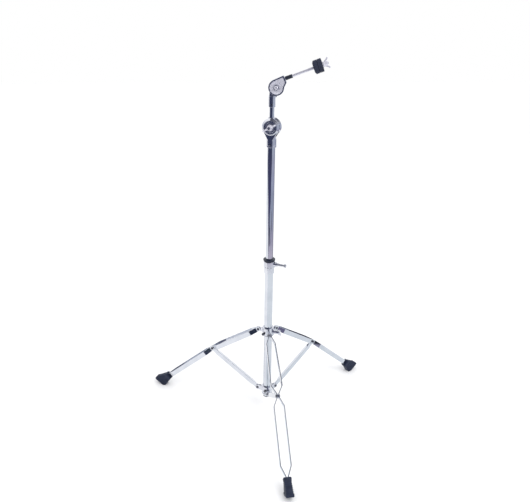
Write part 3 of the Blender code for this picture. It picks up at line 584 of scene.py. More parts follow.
def rivet(node, half_grip, place):
    """A pin across the leg's plane with a low domed head and a dimple at each end."""
    top = half_grip + GAP
    side = [
        (0, top + 0.0015), (0.0008, top + 0.0016), (0.0016, top + 0.0020),
        (RIVET_R, top + 0.0018), (RIVET_HEAD - 0.0006, top + 0.0011), (RIVET_HEAD, top + 0.0003),
        (RIVET_HEAD, top), (RIVET_R, top),
    ]
    radii = [0, 0.0005, 0.0006, 0.0010, 0.0006, 0.0002, 0.0001, 0]
    profile = rounded(mirrored(side), radii + radii[::-1])
    dress(at(lathe(profile, 40), place @ TO_FRONT), node, "dark_steel")


def leg_collar():
    body = lathe(rolled_ring(LEG_RING_R, RING_BORE), 96)
    half = TONGUE_THICK / 2
    tongues = at_legs(lambda: at(plate(ear_outline(), -half, half, 0.0006), TO_FRONT))
    bolt_place = azimuth(COLLAR_BOLT_AZIMUTH) @ ALONG_X
    boss = [(0, 0.0235), (0.0058, 0.0235), (0.0070, 0.0200), (0.0078, 0.0160), (0, 0.0160)]
    boss = at(lathe(rounded(boss, 0.0008), 64), bolt_place)
    holes = at_legs(lambda: cross_bore(RIVET_R, HINGE_R, 0.01))
    screw_place = move(z=-0.0050) @ azimuth(COLLAR_SCREW_AZIMUTH) @ ALONG_X
    bores = [
        at(peg(HAND_BOLT_R + GAP, 0.008, 0.030), bolt_place),
        at(peg(SCREW_BORE_R, 0.008, 0.030), screw_place),
    ]
    body = cut(join(body, *tongues, boss), *holes, *bores)
    dress(at(body, COLLAR), "leg_collar")
    slotted_screw("collar_screw", 0.0040, 0.0184, 0.0250, COLLAR @ screw_place, RING_BORE)


def collar_wing_bolt():
    tip = BASE_R + 0.0005
    shank = [
        (0, 0.0390), (0.0030, 0.0389), (0.0055, 0.0365), (0.0062, 0.0270), (0.0055, 0.0240),
        (HAND_BOLT_R, 0.0238), (HAND_BOLT_R, tip), (0, tip),
    ]
    bolt = lathe(rounded(shank, 0.0007), 64)
    wing = plate(wing_outline(0.0145, 0.0045, 0.0140), -0.0014, 0.0014, 0.0009)
    bolt = join(bolt, at(wing, move(z=0.0290) @ turn(radians(COLLAR_WING_TURN), "Z") @ TO_FRONT))
    dress(at(bolt, COLLAR_BOLT), "collar_wing_bolt")


def wing_outline(span, root, rise, low=0.0, plump=0.34):
    """A butterfly's outline: X across the wings, Y along the thread's axis."""
    tip = rise * plump
    top, valley = rise * 0.98, rise * (plump + 0.22)
    right = [(root, low), (span - tip, top - 2 * tip)]
    right += arc(span - tip, top - tip, tip, -80, 100, 16)
    right += [(span - 2.1 * tip, rise * 0.90), (root * 0.75, valley)]
    left = [(-x, y) for x, y in reversed(right)]
    outline = right + left
    radii = [0.0006, 0.004] + [0] * 17 + [0.003, 0.002]
    return loop(outline, radii + radii[::-1], steps=5)


# Height clamp.


def height_clamp():
    low, high = CLAMP_Z
    points = [
        (BASE_R + GAP, high), (CLAMP_HEAD_R, high), (CLAMP_HEAD_R, CLAMP_STEP_Z),
        (CLAMP_R, CLAMP_STEP_Z - 0.0020), (CLAMP_R, low + 0.0034), (CLAMP_R - 0.0004, low + 0.0028),
        (CLAMP_R - 0.0004, low), (BASE_R + GAP, low),
    ]
    radii = [0.0004, 0.0012, 0.0009, 0.0009, 0.0003, 0.0003, 0.0008, 0.0004]
    clamp = lathe(loop(points, radii), 128)
    bolt_place = move(z=CLAMP_BOLT_Z) @ azimuth(CLAMP_BOLT_AZIMUTH) @ ALONG_X
    boss = [(0, 0.0240), (0.0062, 0.0240), (0.0072, 0.0222), (0.0072, 0.0140), (0, 0.0140)]
    boss = at(lathe(rounded(boss, 0.0008), 64), bolt_place)
    bore = at(peg(HAND_BOLT_R + GAP, 0.010, 0.030), bolt_place)
    dimples = [
        at(peg(DIMPLE_R, 0.0142, 0.020, 24), move(z=DIMPLE_Z) @ azimuth(side) @ ALONG_X)
        for side in DIMPLE_AZIMUTHS
    ]
    clamp = cut(join(clamp, boss), bore, *dimples)
    dress(at(clamp, AXIS), "height_clamp")

    # The dimples' walls take the dark steel look: painted shade in the dimples.
    def painted_dimple_shade(p, normal):
        return 0.0139 < hypot(p.x, p.y) < 0.0168 and abs(p.z - DIMPLE_Z) < DIMPLE_R + 0.0001

    second_look(clamp, "dark_steel", AXIS, painted_dimple_shade)


def height_bushing():
    low, high = BUSHING_Z

    def scallops(radius, height, angle):
        """Finger scallops round the bushing, fading out towards its top."""
        depth = 0.0011 * held((high - 0.0016 - height) / 0.0016)
        return radius - (depth * wave(SCALLOPS * angle) if radius > 0.0135 else 0)

    points = [
        (MIDDLE_R + GAP, high - 0.0004), (MIDDLE_R + 0.0009, high), (BUSHING_R - 0.0018, high),
        (BUSHING_R - 0.0002, high - 0.0013), (BUSHING_R, high - 0.0022), (BUSHING_R, low + 0.0030),
        (BUSHING_R - 0.0008, low + 0.0012), (BUSHING_R - 0.0018, low), (MIDDLE_R + GAP, low),
    ]
    profile = loop(points, 0.0006)
    dress(at(lathe(profile, 144, scallops), AXIS), "height_bushing", "glossy_plastic", 50)


def clamp_hand_bolt():
    handle = [
        (0, 0.0533), (0.0046, 0.0533), (0.0055, 0.0523), (0.0055, 0.0482), (0.0046, 0.0472),
        (0.0030, 0.0466), (0.0030, 0.0442), (0.0038, 0.0434), (0.0042, 0.0300), (0.0052, 0.0290),
        (0.0052, 0.0245), (HAND_BOLT_R, 0.0243), (HAND_BOLT_R, BASE_R + GAP), (0, BASE_R + GAP),
    ]
    dress(at(lathe(rounded(handle, 0.0005), 64), CLAMP_BOLT), "clamp_hand_bolt", "zinc")


# Legs, feet and struts.


def bend(point, x, angle):
    """Turns what lies beyond x downwards, and mitres the column of points at x."""
    px, py, pz = point
    along = px - x
    if abs(along) < 0.00001:
        return (x + pz * tan(angle / 2), py, pz)
    if along > 0:
        return (x + along * cos(angle) + pz * sin(angle), py, -along * sin(angle) + pz * cos(angle))
    return point


def rounded_box(half_x, half_y, radius, steps=3):
    corners = [(-half_x, -half_y), (half_x, -half_y), (half_x, half_y), (-half_x, half_y)]
    return loop(corners, radius, steps=steps)


def strip_path():
    """A strip's middle line seen from above, with rounded bends."""
    knee, mouth = UPPER_LENGTH, UPPER_LENGTH + MOUTH_DISTANCE
    corners = [
        (-STRIP_HALF, PINCH_Y), (PINCH_RUN, PINCH_Y), (BOW_RUN, UPPER_BOW[0]),
        (knee - BOW_RUN, UPPER_BOW[1]), (knee - PINCH_RUN, PINCH_Y), (knee, PINCH_Y),
        (knee + PINCH_RUN, PINCH_Y), (knee + BOW_RUN, LOWER_BOW), (mouth - BOW_RUN, LOWER_BOW),
        (mouth - 0.0020, PINCH_Y), (mouth + STRIP_IN_FOOT, PINCH_Y),
    ]
    return rounded(corners, [0, 0.005, 0.008, 0.008, 0.005, 0, 0.005, 0.008, 0.008, 0.004, 0], steps=5)


def strip(node, side, place):
    path = [Vector(p) for p in strip_path()]
    round_end = [STRIP_HALF * (1 - cos(radians(a))) for a in (12, 25, 40, 55, 72, 90)]
    path = [path[0] + Vector((x, 0)) for x in round_end] + path[1:]
    rings = []
    for i, p in enumerate(path):
        before = path[i - 1] if i else p - Vector((1, 0))
        after = path[i + 1] if i + 1 < len(path) else p + Vector((1, 0))
        along = ((p - before).normalized() + (after - p).normalized()).normalized()
        across = Vector((-along.y, along.x))
        reach = min(STRIP_HALF, p.x + STRIP_HALF)
        half = (STRIP_HALF**2 - (STRIP_HALF - reach) ** 2) ** 0.5
        section = rounded_box(STRIP_THICK / 2, half, 0.0005)
        ring_points = []
        for u, v in section:
            x, y = p + across * u
            ring_points.append(bend((x, side * y, v), UPPER_LENGTH, KINK))
        rings.append(ring_points)
    obj = loft(rings)
    holes = [cross_bore(RIVET_R, x, 0.01, 40) for x in (0, UPPER_LENGTH)]
    dress(at(cut(obj, *holes), place), node, sharp=40)


def foot(node, plane, lower):
    """A moulded boot: rounded sections from its mouth to its slanted sole, with side ribs."""
    mouth = Vector(SOLE_MIDDLE) + Vector((-cos(LOWER_SLOPE), sin(LOWER_SLOPE))) * FOOT_LENGTH
    across = Vector((sin(LOWER_SLOPE), cos(LOWER_SLOPE))) * FOOT_MOUTH
    lines = [
        (mouth - across, mouth + across),
        (Vector((HEEL_R[0], 0)), Vector((TOE[0] - 0.0035, TOE[1] + 0.0060))),
        (Vector((HEEL_R[1], 0)), Vector(TOE)),
    ]
    rings = []

    def section(low, high, half, corner):
        middle, reach = (low + high) / 2, (high - low) / 2
        box = rounded_box(half, reach.length, corner, 5)
        axis = reach.normalized()
        rings.append([(middle.x + axis.x * v, u, middle.y + axis.y * v) for u, v in box])

    for k in range(FOOT_SECTIONS + 1):
        s = k / FOOT_SECTIONS
        low = lines[0][0].lerp(lines[1][0], s)
        high = lines[0][1].lerp(lines[1][1], s)
        half = FOOT_HALF * (1 - FOOT_TAPER * (1 - s))
        cuff = CUFF * held((s - 0.13) / 0.03)
        ribbed = RIBBED[0] < s < RIBBED[1]
        rib = RIB_DEPTH * wave(2 * pi * (s - RIBBED[0]) * RIBS) if ribbed else 0
        lip = 0.0010 * max(0, 1 - s * 14) ** 2
        shrink = cuff * held((1 - s) / 0.07) + lip
        up = (high - low).normalized()
        section(low + up * shrink, high - up * (shrink + rib), half - shrink - rib, 0.0030)
    for s in (0.35, 0.7):
        low, high = lines[1][0].lerp(lines[2][0], s), lines[1][1].lerp(lines[2][1], s)
        section(low, high, FOOT_HALF, 0.0030)
    low, high = lines[2]
    for trim in (0.0010, 0.0018):
        slim = (high - low).normalized() * trim
        section(low + slim, high - slim, FOOT_HALF - trim, 0.0028)
    obj = at(loft(rings), plane)
    y, z = PINCH_Y + STRIP_THICK / 2 + GAP, STRIP_HALF + GAP
    start, end = MOUTH_DISTANCE - 0.01, MOUTH_DISTANCE + STRIP_IN_FOOT + GAP
    pocket = at(block((start, -y, -z), (end, y, z)), lower)
    dress(cut(obj, pocket), node, sharp=50)


def strut(node, place):
    """A pressed channel, open below, whose flattened ends carry the pins."""
    high = EAR_HALF * 0.95
    stations = [(-EAR_HALF * cos(radians(a)), 0.0017, high * sin(radians(a)))
                for a in (14, 28, 44, 60, 76, 90)]
    stations += [(0.0130, 0.0017, high), (0.0165, 0.0019, high), (0.0235, 0.0040, high),
                 (0.0270, 0.0042, high)]
    stations += [(UPPER_LENGTH - x, y, z) for x, y, z in reversed(stations)]
    rings = [[(x, u, v) for u, v in rounded_box(y, z, 0.0006)] for x, y, z in stations]
    obj = loft(rings)
    channel = block((0.0300, -0.0029, -0.012), (UPPER_LENGTH - 0.0300, 0.0029, 0.0056))
    holes = [cross_bore(RIVET_R, x, 0.01, 40) for x in (0, UPPER_LENGTH)]
    dress(at(cut(obj, channel, *holes), place), node, sharp=40)


def legs():
    grip = PINCH_Y + STRIP_THICK / 2
    for side, angle in LEG_AZIMUTHS.items():
        plane = AXIS @ azimuth(angle)
        upper = plane @ move(HINGE_R, 0, COLLAR_Z) @ turn(UPPER_SLOPE, "Y")
        knee = upper @ move(x=UPPER_LENGTH)
        strip(f"leg_strip_{side}_a", 1, upper)
        strip(f"leg_strip_{side}_b", -1, upper)
        foot(f"foot_{side}", plane, knee @ turn(KINK, "Y"))
        rivet(f"collar_rivet_{side}", grip, upper)
        rivet(f"knee_rivet_{side}", grip, knee)
        strut(f"strut_{side}", plane @ move(HINGE_R, 0, LOWER_Z) @ turn(-UPPER_SLOPE, "Y"))


# Boom tilter.


def fork_side(cone, rim, groove):
    """(radius, height) from the middle of one face, over its rim and into the slot."""
    face, floor = FORK_HALF, FORK_HALF - 0.0015
    return [
        (0, floor), (0.0122, floor), (0.0126, floor + 0.0009), (0.0140, floor + 0.0009),
        (0.0144, floor), (0.0175, floor), (0.0179, face), (cone, face), (FORK_R, rim[0]),
        (FORK_R, rim[1]), (groove, FORK_SLOT - 0.0001),
    ]


def fork_disc():
    """The cheeks' disc about its bolt: recessed and beaded faces, coned rims and a grooved waist."""
    front = fork_side(0.0191, (0.0101, 0.0096), 0.0231)
    back = fork_side(0.0217, (0.0124, 0.0118), 0.0207)
    radii = [0, 0.0003, 0.0004, 0.0004, 0.0003, 0.0003, 0.0004, 0.0006, 0.0004, 0.0003, 0.0002]
    profile = front + [(radius, -height) for radius, height in reversed(back)]
    return at(lathe(rounded(profile, radii + radii[::-1]), 112), TO_FRONT)


def boom_fork():
    neck = [
        (0, -0.0240), (0.0118, -0.0240), (NECK_R - 0.0004, -0.0330), (NECK_R - 0.0004, -0.0500),
        (NECK_R, -0.0506), (NECK_R, NECK_BOTTOM), (0, NECK_BOTTOM),
    ]
    radii = [0, 0.0006, 0.0040, 0.0003, 0.0003, 0.0009, 0]
    fork = lathe(rounded(neck, radii), 96)
    shoulder = [(0.0120, 0), (-0.0120, 0), (-0.0190, -0.0140), (-0.0060, -0.0375), (0.0060, -0.0375),
                (0.0190, -0.0140)]
    radii = [0.002, 0.002, 0.003, 0.003, 0.003, 0.003]
    shoulders = at(plate(loop(shoulder, radii), -0.0128, 0.0128, 0.0012), TO_FRONT)
    fork = join(fork, shoulders, fork_disc())
    slot = block((-0.05, -FORK_SLOT, FORK_FLOOR), (0.05, FORK_SLOT, 0.05))
    tube = peg(MIDDLE_R + GAP, -0.07, NECK_BORE_TOP, 96)
    bolt = cross_bore(BOOM_BOLT_R)
    screw_place = move(z=-0.0470) @ azimuth(4.0) @ ALONG_X
    screw_bore = at(peg(SCREW_BORE_R, 0.008, 0.020), screw_place)
    dress(at(cut(fork, slot, tube, bolt, screw_bore), BOOM), "boom_fork")
    set_screw("fork_screw", 0.0025, MIDDLE_R + GAP, NECK_R + 0.0008, BOOM @ screw_place)


def boom_bolt():
    """The boom tilter's bolt, its washer and its wing nut."""
    front = BOOM @ TO_FRONT
    bolt = [
        (0, 0.0268), (BOOM_BOLT_R - 0.0006, 0.0268), (BOOM_BOLT_R, 0.0262),
        (BOOM_BOLT_R, -FORK_HALF - GAP), (0.0085, -FORK_HALF - GAP), (0.0085, -0.0195),
        (0.0070, -0.0208), (0, -0.0212),
    ]
    bolt = lathe(threaded(rounded(bolt, 0.0003), BOOM_BOLT_R, 0.0185, 0.0258), 64)
    dress(at(cut(bolt, hexagon(0.0042, -0.024, -0.0186)), front), "boom_bolt")

    def serrated(radius, height, angle):
        """Small grips round the washer's rim."""
        return radius - (0.00035 * wave(WASHER_GRIPS * angle) if radius > 0.0090 else 0)

    washer = ring(0.0100, BOOM_BOLT_R + GAP, 0.0138, 0.0153, 0.0004)
    dress(at(lathe(washer, 144, serrated), front), "boom_washer", sharp=50)
    place = front @ move(z=0.0156) @ turn(radians(BOOM_NUT_TURN), "Z")
    wing_nut("boom_wing_nut", 0.0078, BOOM_BOLT_R + GAP, 0.0210, 0.0042, place, 0.0140, "satin")


def hexagon(radius, low, high):
    return peg(radius, low, high, 6)


def set_screw(node, radius, low, high, place):
    screw = lathe(pin(radius, low, high, 0.0003), 40)
    screw = cut(screw, hexagon(radius * 0.55, high - 0.0012, high + 0.001))
    dress(at(screw, place), node, "dark_steel")


def threaded(profile, radius, low, high, pitch=THREAD_PITCH, depth=THREAD_DEPTH):
    """Puts thread ridges on the wall of one radius between two heights."""
    ridges, height = [], high
    while height - pitch >= low:
        ridges += [(radius, height), (radius, height - pitch * 0.25),
                   (radius - depth, height - pitch * 0.5), (radius - depth, height - pitch * 0.75)]
        height -= pitch
    made = []
    for (r, z), (next_r, next_z) in zip(profile, profile[1:]):
        made.append((r, z))
        on_wall = abs(r - radius) < 1e-6 and abs(next_r - radius) < 1e-6
        if on_wall and next_z <= low and z >= high:
            made += ridges
    return made + profile[-1:]


def wing_nut(node, hub, bore, span, thickness, place, rise, look=None, plump=0.34):
    """A nut about Z standing on Z = 0, with wings across X."""
    profile = [
        (0, rise * 0.80), (hub * 0.78, rise * 0.80), (hub * 0.92, rise * 0.52), (hub, rise * 0.30),
        (hub * 1.12, rise * 0.16), (hub * 1.12, 0.0003), (hub * 1.06, 0), (0, 0),
    ]
    nut = lathe(rounded(profile, 0.0008), 64)
    half = thickness / 2
    wings = plate(wing_outline(span, hub * 0.6, rise, 0.0015, plump), -half, half, thickness * 0.36, 4)
    nut = join(nut, at(wings, TO_FRONT))
    dress(at(cut(nut, peg(bore, -0.01, rise + 0.01)), place), node, look)


def boom_rotor():
    half = FORK_SLOT - GAP

    def teeth(radius, height, angle):
        """Fine mating teeth round both rims of the drum."""
        band = held((abs(height) - half + 0.0030) / 0.0006)
        return radius - (0.0006 * band * wave(ROTOR_TEETH * angle) if radius > 0.019 else 0)

    rim = [(0, half), (ROTOR_R, half), (ROTOR_R, half - 0.0026), (ROTOR_R - 0.0004, half - 0.0032)]
    rotor = at(lathe(rounded(mirrored(rim), 0.0004), 240, teeth), TO_FRONT)
    socket = [(0, 0.0262), (0.0090, 0.0262), (0.0098, 0.0240), (0.0098, 0.0100), (0, 0.0100)]
    side = half - 0.0001
    trims = [block((-0.02, y, 0), (0.02, y + 0.02, 0.03)) for y in (side, -side - 0.02)]
    rotor = join(rotor, cut(lathe(rounded(socket, 0.0008), 80), *trims))
    arm = peg(ARM_R + GAP, ARM_FOOT, 0.04, 80)
    bolt = cross_bore(BOOM_BOLT_R)
    dress(at(cut(rotor, arm, bolt), BOOM), "boom_rotor", sharp=40)


# Cymbal tilter.


def tilter_socket():
    socket = lathe(pin(SOCKET_R, SOCKET_BOTTOM, SOCKET_TOP, 0.0006), 80)
    circle = arc(PIVOT_X, 0, 0.0200, -78, 200, 60)
    outline = circle + [(-0.0085, -0.0360), (0.0085, -0.0300)]
    outline = loop(outline, [0.003] + [0] * (len(outline) - 4) + [0.006, 0.002, 0.002])
    cheek = at(plate(outline, -TILTER_BACK, -GAP, 0.0008), TO_FRONT)
    bead = loop([(0.0150, 0.0010), (0.0166, 0.0010), (0.0170, -0.001), (0.0146, -0.001)], 0.0005)
    bead = at(lathe(bead, 96), move(PIVOT_X, TILTER_BACK - 0.0006, 0) @ TO_BACK)
    socket = join(socket, cheek, bead)
    bore = peg(ARM_R + GAP, -0.07, SOCKET_BORE_TOP, 80)
    bolt = cross_bore(TILTER_BOLT_R, PIVOT_X)
    trim = at(peg(0.0240, TILTER_BACK + 0.00005, TILTER_BACK + 0.01, 64), move(PIVOT_X) @ TO_BACK)
    screw_place = move(z=-0.0455) @ azimuth(0.0) @ ALONG_X
    screw_bore = at(peg(0.0023, 0.004, 0.015), screw_place)
    dress(at(cut(socket, bore, bolt, trim, screw_bore), CYMBAL), "tilter_socket")
    set_screw("socket_screw", 0.0020, ARM_R + GAP, SOCKET_R + 0.0006, CYMBAL @ screw_place)


def tilter_bolt():
    """The cymbal tilter's bolt and the wing nut behind it."""
    bolt = [
        (0, 0.0160), (0.0034, 0.0160), (0.0050, 0.0146), (0.0050, -TILTER_FRONT + GAP),
        (TILTER_BOLT_R, -TILTER_FRONT + GAP), (TILTER_BOLT_R, -0.0205),
        (TILTER_BOLT_R - 0.0005, -0.0210), (0, -0.0210),
    ]
    profile = threaded(rounded(bolt, 0.0004), TILTER_BOLT_R, -0.0200, -0.0130, 0.0009)
    bolt = cut(lathe(profile, 56), hexagon(0.0024, 0.0128, 0.0170))
    dress(at(bolt, CYMBAL @ move(x=PIVOT_X) @ TO_FRONT), "tilter_bolt", "satin")
    place = CYMBAL @ move(x=PIVOT_X, y=TILTER_BACK + GAP) @ TO_BACK
    wing_nut("tilter_wing_nut", 0.0058, TILTER_BOLT_R + GAP, 0.0150, 0.0030, place, 0.0120)


def tilter_head():
    disc = arc(0, 0, TILTER_R, 90, 342, 64)
    outline = disc + [(HEAD_END + 0.0007, 0.0030), (HEAD_END - 0.0007, 0.0230)]
    radii = [0.002] + [0] * (len(disc) - 2) + [0.004, 0.0022, 0.0022]
    depth = -TILTER_FRONT
    inner = loop(inset(outline, 0.0034), radii, steps=6)
    outline = loop(outline, radii, steps=6)
    head = at(plate(outline, GAP / 2, depth, 0.0005), TO_FRONT)
    rim, sunk, dish_r = depth - 0.0014, 0.0028, 0.0176
    pocket = at(plate(inner, rim, depth + 0.004, 0.0006, 3), TO_FRONT)
    slope = [(dish_r * k / 12, rim - sunk * min(1, 1.6 - 1.6 * k / 12)) for k in range(12, -1, -1)]
    dish = at(lathe([(0, rim + 0.002), (dish_r, rim + 0.002)] + slope, 96), TO_FRONT)
    head = cut(head, pocket, dish)
    bead = loop([(0.0104, rim - 0.0008), (0.0120, rim - 0.0007), (0.0124, rim - 0.003),
                    (0.0100, rim - 0.003)], 0.0005)
    hub = rounded([(0, depth - 0.0001), (0.0066, depth - 0.0001), (0.0074, rim - 0.003),
                   (0, rim - 0.003)], 0.0005)
    head = join(head, at(lathe(bead, 96), TO_FRONT), at(lathe(hub, 72), TO_FRONT))
    hole = cross_bore(TILTER_BOLT_R)
    rod = at(peg(ROD_BORE, ROD_START - GAP, 0.05), move(0, ROD_Y, ROD_RISE) @ ALONG_X)
    head = cut(head, hole, rod)
    dress(at(head, HEAD), "tilter_head")

    def in_dish(p, normal):
        return -depth + 0.0008 < p.y < sunk - rim + 0.0003 and normal.y < -0.5

    second_look(head, "satin", HEAD, in_dish)


def cymbal_rod():
    points = rounded([(0, ROD_END), (ROD_R - 0.0008, ROD_END), (ROD_R, ROD_END - 0.0009),
                      (ROD_R, ROD_START), (0, ROD_START)], 0.0003)
    points = threaded(points, ROD_R, FELT_START - 0.026, ROD_END - 0.0015)
    dress(at(lathe(points, 64), ROD), "cymbal_rod", "steel")


def rod_sleeve():
    start = HEAD_END + 0.0009
    end = start + SLEEVE_LENGTH
    sleeve = [(ROD_BORE, end), (0.0049, end), (SLEEVE_R, end - 0.0012)]
    for k in range(SLEEVE_GROOVES):
        z = end - 0.0034 - GROOVE_PITCH * k
        sleeve += [(SLEEVE_R, z + 0.0006), (GROOVE_R, z + 0.0003), (GROOVE_R, z - 0.0003),
                   (SLEEVE_R, z - 0.0006)]
    sleeve += [(SLEEVE_R, start + 0.0010), (0.0049, start), (ROD_BORE, start)]
    dress(at(lathe(loop(sleeve, 0.0002), 56), ROD), "rod_sleeve")


def cymbal_seat():
    """What holds the cymbal: a washer, a sleeve, two felts and a wing nut."""
    low, high = FELT_START - 0.0023, FELT_START - GAP
    washer = [(ROD_BORE, high), (0.0142, high), (0.0150, high - 0.0008), (0.0150, low + 0.0005),
              (0.0140, low), (0.0100, low), (0.0085, low + 0.0006), (ROD_BORE, low + 0.0006)]
    dress(at(lathe(loop(washer, 0.0003), 80), ROD), "seat_washer")
    top = FELT_START + 2 * FELT_THICK
    sleeve = ring(SEAT_SLEEVE_R, ROD_BORE, FELT_START, top, 0.0003)
    dress(at(lathe(sleeve, 56), ROD), "cymbal_sleeve")
    for index, node in enumerate(("lower_felt", "upper_felt")):
        felt(node, FELT_START + index * FELT_THICK, index)
    place = ROD @ move(z=top + GAP) @ turn(radians(CYMBAL_NUT_TURN), "Z")
    wing_nut("cymbal_wing_nut", 0.0068, ROD_BORE, 0.0152, 0.0030, place, 0.0178, "satin", 0.15)


def felt(node, low, index):
    """A thick pressed felt: crowned faces, full rounded rim and a fuzzy, slightly uneven skin."""
    bore, high = SEAT_SLEEVE_R + GAP, low + FELT_THICK - GAP
    middle = (low + high) / 2
    outside = []
    for k in range(15):
        r = bore + 0.0004 + (FELT_R - 0.0020 - bore) * k / 14
        outside.append((r, high - 0.0002 * ((r - 0.0120) / 0.0060) ** 2))
    rim = rounded([outside[-1], (FELT_R - 0.0001, high - 0.0003), (FELT_R, middle),
                   (FELT_R - 0.0001, low + 0.0003), (outside[-1][0], low + 0.0002)],
                  [0, 0.0003, 0.02, 0.0003, 0], steps=6)
    bottom = [(r, low + high - z) for r, z in reversed(outside)]
    wall = [(bore, low + 0.0008), (bore, middle), (bore, high - 0.0008)]
    obj = lathe(outside[:-1] + rim + bottom[1:] + wall, 120)
    seed = Vector((0, 0, 7.3 * index))
    for vertex in obj.data.vertices:
        p = vertex.co.copy()
        fuzz = sum(noise.noise(p * scale + seed) * depth for scale, depth in FELT_FUZZ)
        flat = Vector((p.x, p.y, 0))
        if flat.length > 0.0075:
            vertex.co -= flat.normalized() * abs(fuzz) * (1.0 if flat.length > 0.016 else 0.3)
            vertex.co.z += (middle - p.z) / (high - low) * abs(fuzz) * 2
    dress(at(obj, ROD), node, sharp=80)


# Studio: a white floor and surround, and cards that only reflections see.
FLOOR_HALF = 9.0


def floor():
    obj = block((-FLOOR_HALF, -FLOOR_HALF, -0.05), (FLOOR_HALF, FLOOR_HALF, -0.0003))
    obj.name = "floor"
    material, tree, shader, place = shader_with("studio_floor", (0.90, 0.90, 0.905), 0.0, 0.9)
    colour = tint(tree, noise_of(tree, place, 3.0), (0.895, 0.895, 0.90), (0.905, 0.905, 0.91))
    fill(shader, {"Specular IOR Level": 0.0, "Base Color": colour})
    obj.data.materials.append(material)


# What the chrome sees round the stand. Each card's rows: level, azimuths of its two sides, colour.
# A level is a height, but on the floor the distance from the mast, and on a dome the elevation.
CARD_RADIUS, DOME_RADIUS, PATCH_RADIUS = 1.25, 1.9, 1.24
DARK, DUSK, NAVY = (0.046, 0.056, 0.110), (0.21, 0.21, 0.28), (0.008, 0.012, 0.020)
LILAC, SLATE, SKY = (0.60, 0.55, 0.65), (0.37, 0.40, 0.52), (0.48, 0.52, 0.62)
OVERHEAD = (0.11, 0.115, 0.15)
CARDS = {
    "dark_card": [
        (0.00, -50, -42, DUSK), (0.04, -50, -40, DUSK), (0.13, -57, -32, DUSK),
        (0.25, -69, -21, (0.10, 0.10, 0.20)), (0.34, -76, 2, (0.069, 0.072, 0.16)),
        (0.43, -98, 5, (0.069, 0.072, 0.15)), (0.54, -120, 18, (0.069, 0.072, 0.141)),
        (0.60, -112, 17, DARK), (0.85, -112, 17, DARK), (0.86, -100, 17, DARK),
        (1.40, -100, 17, DARK),
    ],
    "grey_card": [
        (0.00, -42, 100, LILAC), (0.04, -40, 100, LILAC), (0.13, -32, 100, (0.47, 0.44, 0.56)),
        (0.25, -21, 100, SLATE), (0.34, 2, 100, SLATE), (0.43, 5, 100, (0.43, 0.45, 0.60)),
        (0.54, 18, 100, (0.45, 0.45, 0.58)), (0.60, 17, 100, SKY), (1.40, 17, 100, SKY),
    ],
    "back_card": [(0.00, 100, 150, (0.26, 0.25, 0.31)), (0.75, 100, 150, (0.30, 0.32, 0.42))],
}
PATCHES = {
    "left_patch": [(level, -29, -8, (0.02, 0.03, 0.06)) for level in (0.10, 0.205)],
    "left_knee_patch": [(level, -31, -20, (0.04, 0.06, 0.08)) for level in (0.21, 0.29)],
    "right_patch": [(level, 20, 34, (0.17, 0.16, 0.27)) for level in (0.10, 0.175)],
    "right_knee_patch": [(0.18, 35, 46, NAVY), (0.28, 35, 44, NAVY)],
}
FLOOR_CARD = {
    "floor_card": [(reach, -45, 150, (0.93, 0.97, 1.0)) for reach in (0.05, 0.5, 1.0, 2.0)],
}
DOMES = {
    "low_dome": [(level, -70, 50, (0.36, 0.37, 0.41)) for level in (45, 49, 52, 56, 59)],
    "high_dome": [(level, -70, 50, OVERHEAD) for level in (59, 64, 70, 76)],
    "top_dome": [(level, -180, 180, OVERHEAD) for level in (76, 80, 84, 88)],
}


def round_mast(side, reach, height):
    """The point at an azimuth, a distance from the mast and a height."""
    return (AXIS @ azimuth(side) @ move(reach, 0, height)).to_translation()


def on_dome(side, elevation):
    angle = radians(elevation)
    return round_mast(side, DOME_RADIUS * cos(angle), DOME_RADIUS * sin(angle))


def reflected_card(name, corner, rows):
    """A curved card seen only in the chrome. corner(side, level) gives its points."""
    verts, colours, faces = [], [], []
    steps = 48
    for row, (level, start, end, colour) in enumerate(rows):
        for k in range(steps + 1):
            verts.append(corner(start + (end - start) * k / steps, level))
            colours += [*colour, 1.0]
            if row and k:
                here = row * (steps + 1) + k
                faces.append([here, here - 1, here - steps - 2, here - steps - 1])
    mesh = bpy.data.meshes.new(name)
    mesh.from_pydata(verts, [], faces)
    glow_of = mesh.color_attributes.new("glow", "FLOAT_COLOR", "POINT")
    glow_of.data.foreach_set("color", colours)
    card = linked(name, mesh)
    material = bpy.data.materials.new(name)
    material.use_nodes = True
    tree = material.node_tree
    tree.nodes.clear()
    colour_of = node_of(tree, "VertexColor")
    colour_of.layer_name = "glow"
    glow = node_of(tree, "Emission", {"Color": colour_of.outputs["Color"]})
    node_of(tree, "OutputMaterial", {"Surface": glow.outputs["Emission"]})
    mesh.materials.append(material)
    card.visible_camera = card.visible_diffuse = card.visible_shadow = False
    card.visible_transmission = card.visible_volume_scatter = False


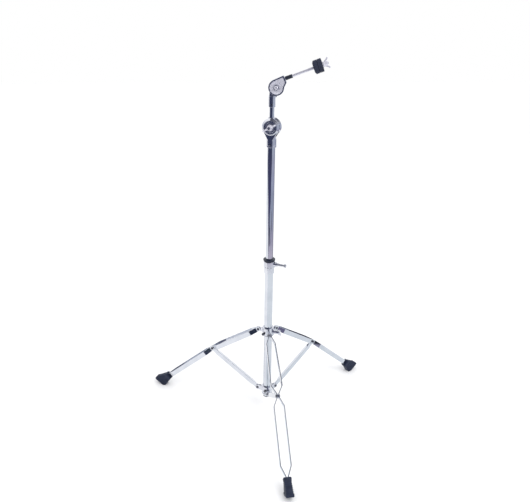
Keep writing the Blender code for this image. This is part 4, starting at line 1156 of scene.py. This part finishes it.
def surround():
    """A white world to the camera, and one that darkens downwards to everything else."""
    world = bpy.data.worlds.new("studio")
    bpy.context.scene.world = world
    world.use_nodes = True
    tree = world.node_tree
    tree.nodes.clear()
    place = node_of(tree, "TexCoord").outputs["Generated"]
    height = node_of(tree, "SeparateXYZ", {"Vector": place}).outputs["Z"]
    ramp = node_of(tree, "ValToRGB", {"Fac": height})
    level, high = ramp.color_ramp.elements
    level.position, level.color = 0.0, (0.62, 0.64, 0.70, 1)
    high.position, high.color = 0.55, (1, 1, 1, 1)
    lit = node_of(tree, "Background", {"Strength": 1.17, "Color": ramp.outputs["Color"]})
    seen = node_of(tree, "Background", {"Color": (1, 1, 1, 1)})
    mix = node_of(tree, "MixShader", {"Fac": node_of(tree, "LightPath").outputs["Is Camera Ray"]})
    tree.links.new(lit.outputs["Background"], mix.inputs[1])
    tree.links.new(seen.outputs["Background"], mix.inputs[2])
    node_of(tree, "OutputWorld", {"Surface": mix.outputs["Shader"]})


def key_light():
    data = bpy.data.lights.new("key", "AREA")
    data.shape = "DISK"
    data.size, data.energy = KEY_SIZE, KEY_POWER
    light = linked("key", data)
    light.location = KEY_PLACE
    light.rotation_euler = (KEY_AIM - KEY_PLACE).to_track_quat("-Z", "Y").to_euler()


KEY_PLACE, KEY_AIM, KEY_SIZE, KEY_POWER = Vector((0.9, -1.4, 2.4)), Vector((0, 0.1, 0.5)), 1.6, 22
CAMERA_LENS, CAMERA_PLACE = 41.53, move(-0.2747, AXIS_Y - 1.6614, 1.2472)
CAMERA_PAN, CAMERA_TILT, CAMERA_ROLL = -8.94, 67.94, 0.85


def camera():
    data = bpy.data.cameras.new("camera")
    data.lens, data.sensor_width = CAMERA_LENS, 36.0
    obj = linked("camera", data)
    aim = turn(radians(CAMERA_PAN), "Z") @ turn(radians(CAMERA_TILT), "X")
    obj.matrix_world = CAMERA_PLACE @ aim @ turn(radians(CAMERA_ROLL), "Z")
    bpy.context.scene.camera = obj


camera()
floor()
SHOWN_IN_CHROME = (
    (CARDS, lambda side, height: round_mast(side, CARD_RADIUS, height)),
    (PATCHES, lambda side, height: round_mast(side, PATCH_RADIUS, height)),
    (FLOOR_CARD, lambda side, reach: round_mast(side, reach, 0.0005)),
    (DOMES, on_dome),
)
for rows_of, corner_of in SHOWN_IN_CHROME:
    for card_name, card_rows in rows_of.items():
        reflected_card(card_name, corner_of, card_rows)
surround()
key_light()
bpy.context.scene.view_settings.view_transform = "Standard"

tubes()
lower_collar()
leg_collar()
collar_wing_bolt()
height_clamp()
height_bushing()
clamp_hand_bolt()
legs()
boom_fork()
boom_bolt()
boom_rotor()
tilter_socket()
tilter_bolt()
tilter_head()
cymbal_rod()
rod_sleeve()
cymbal_seat()
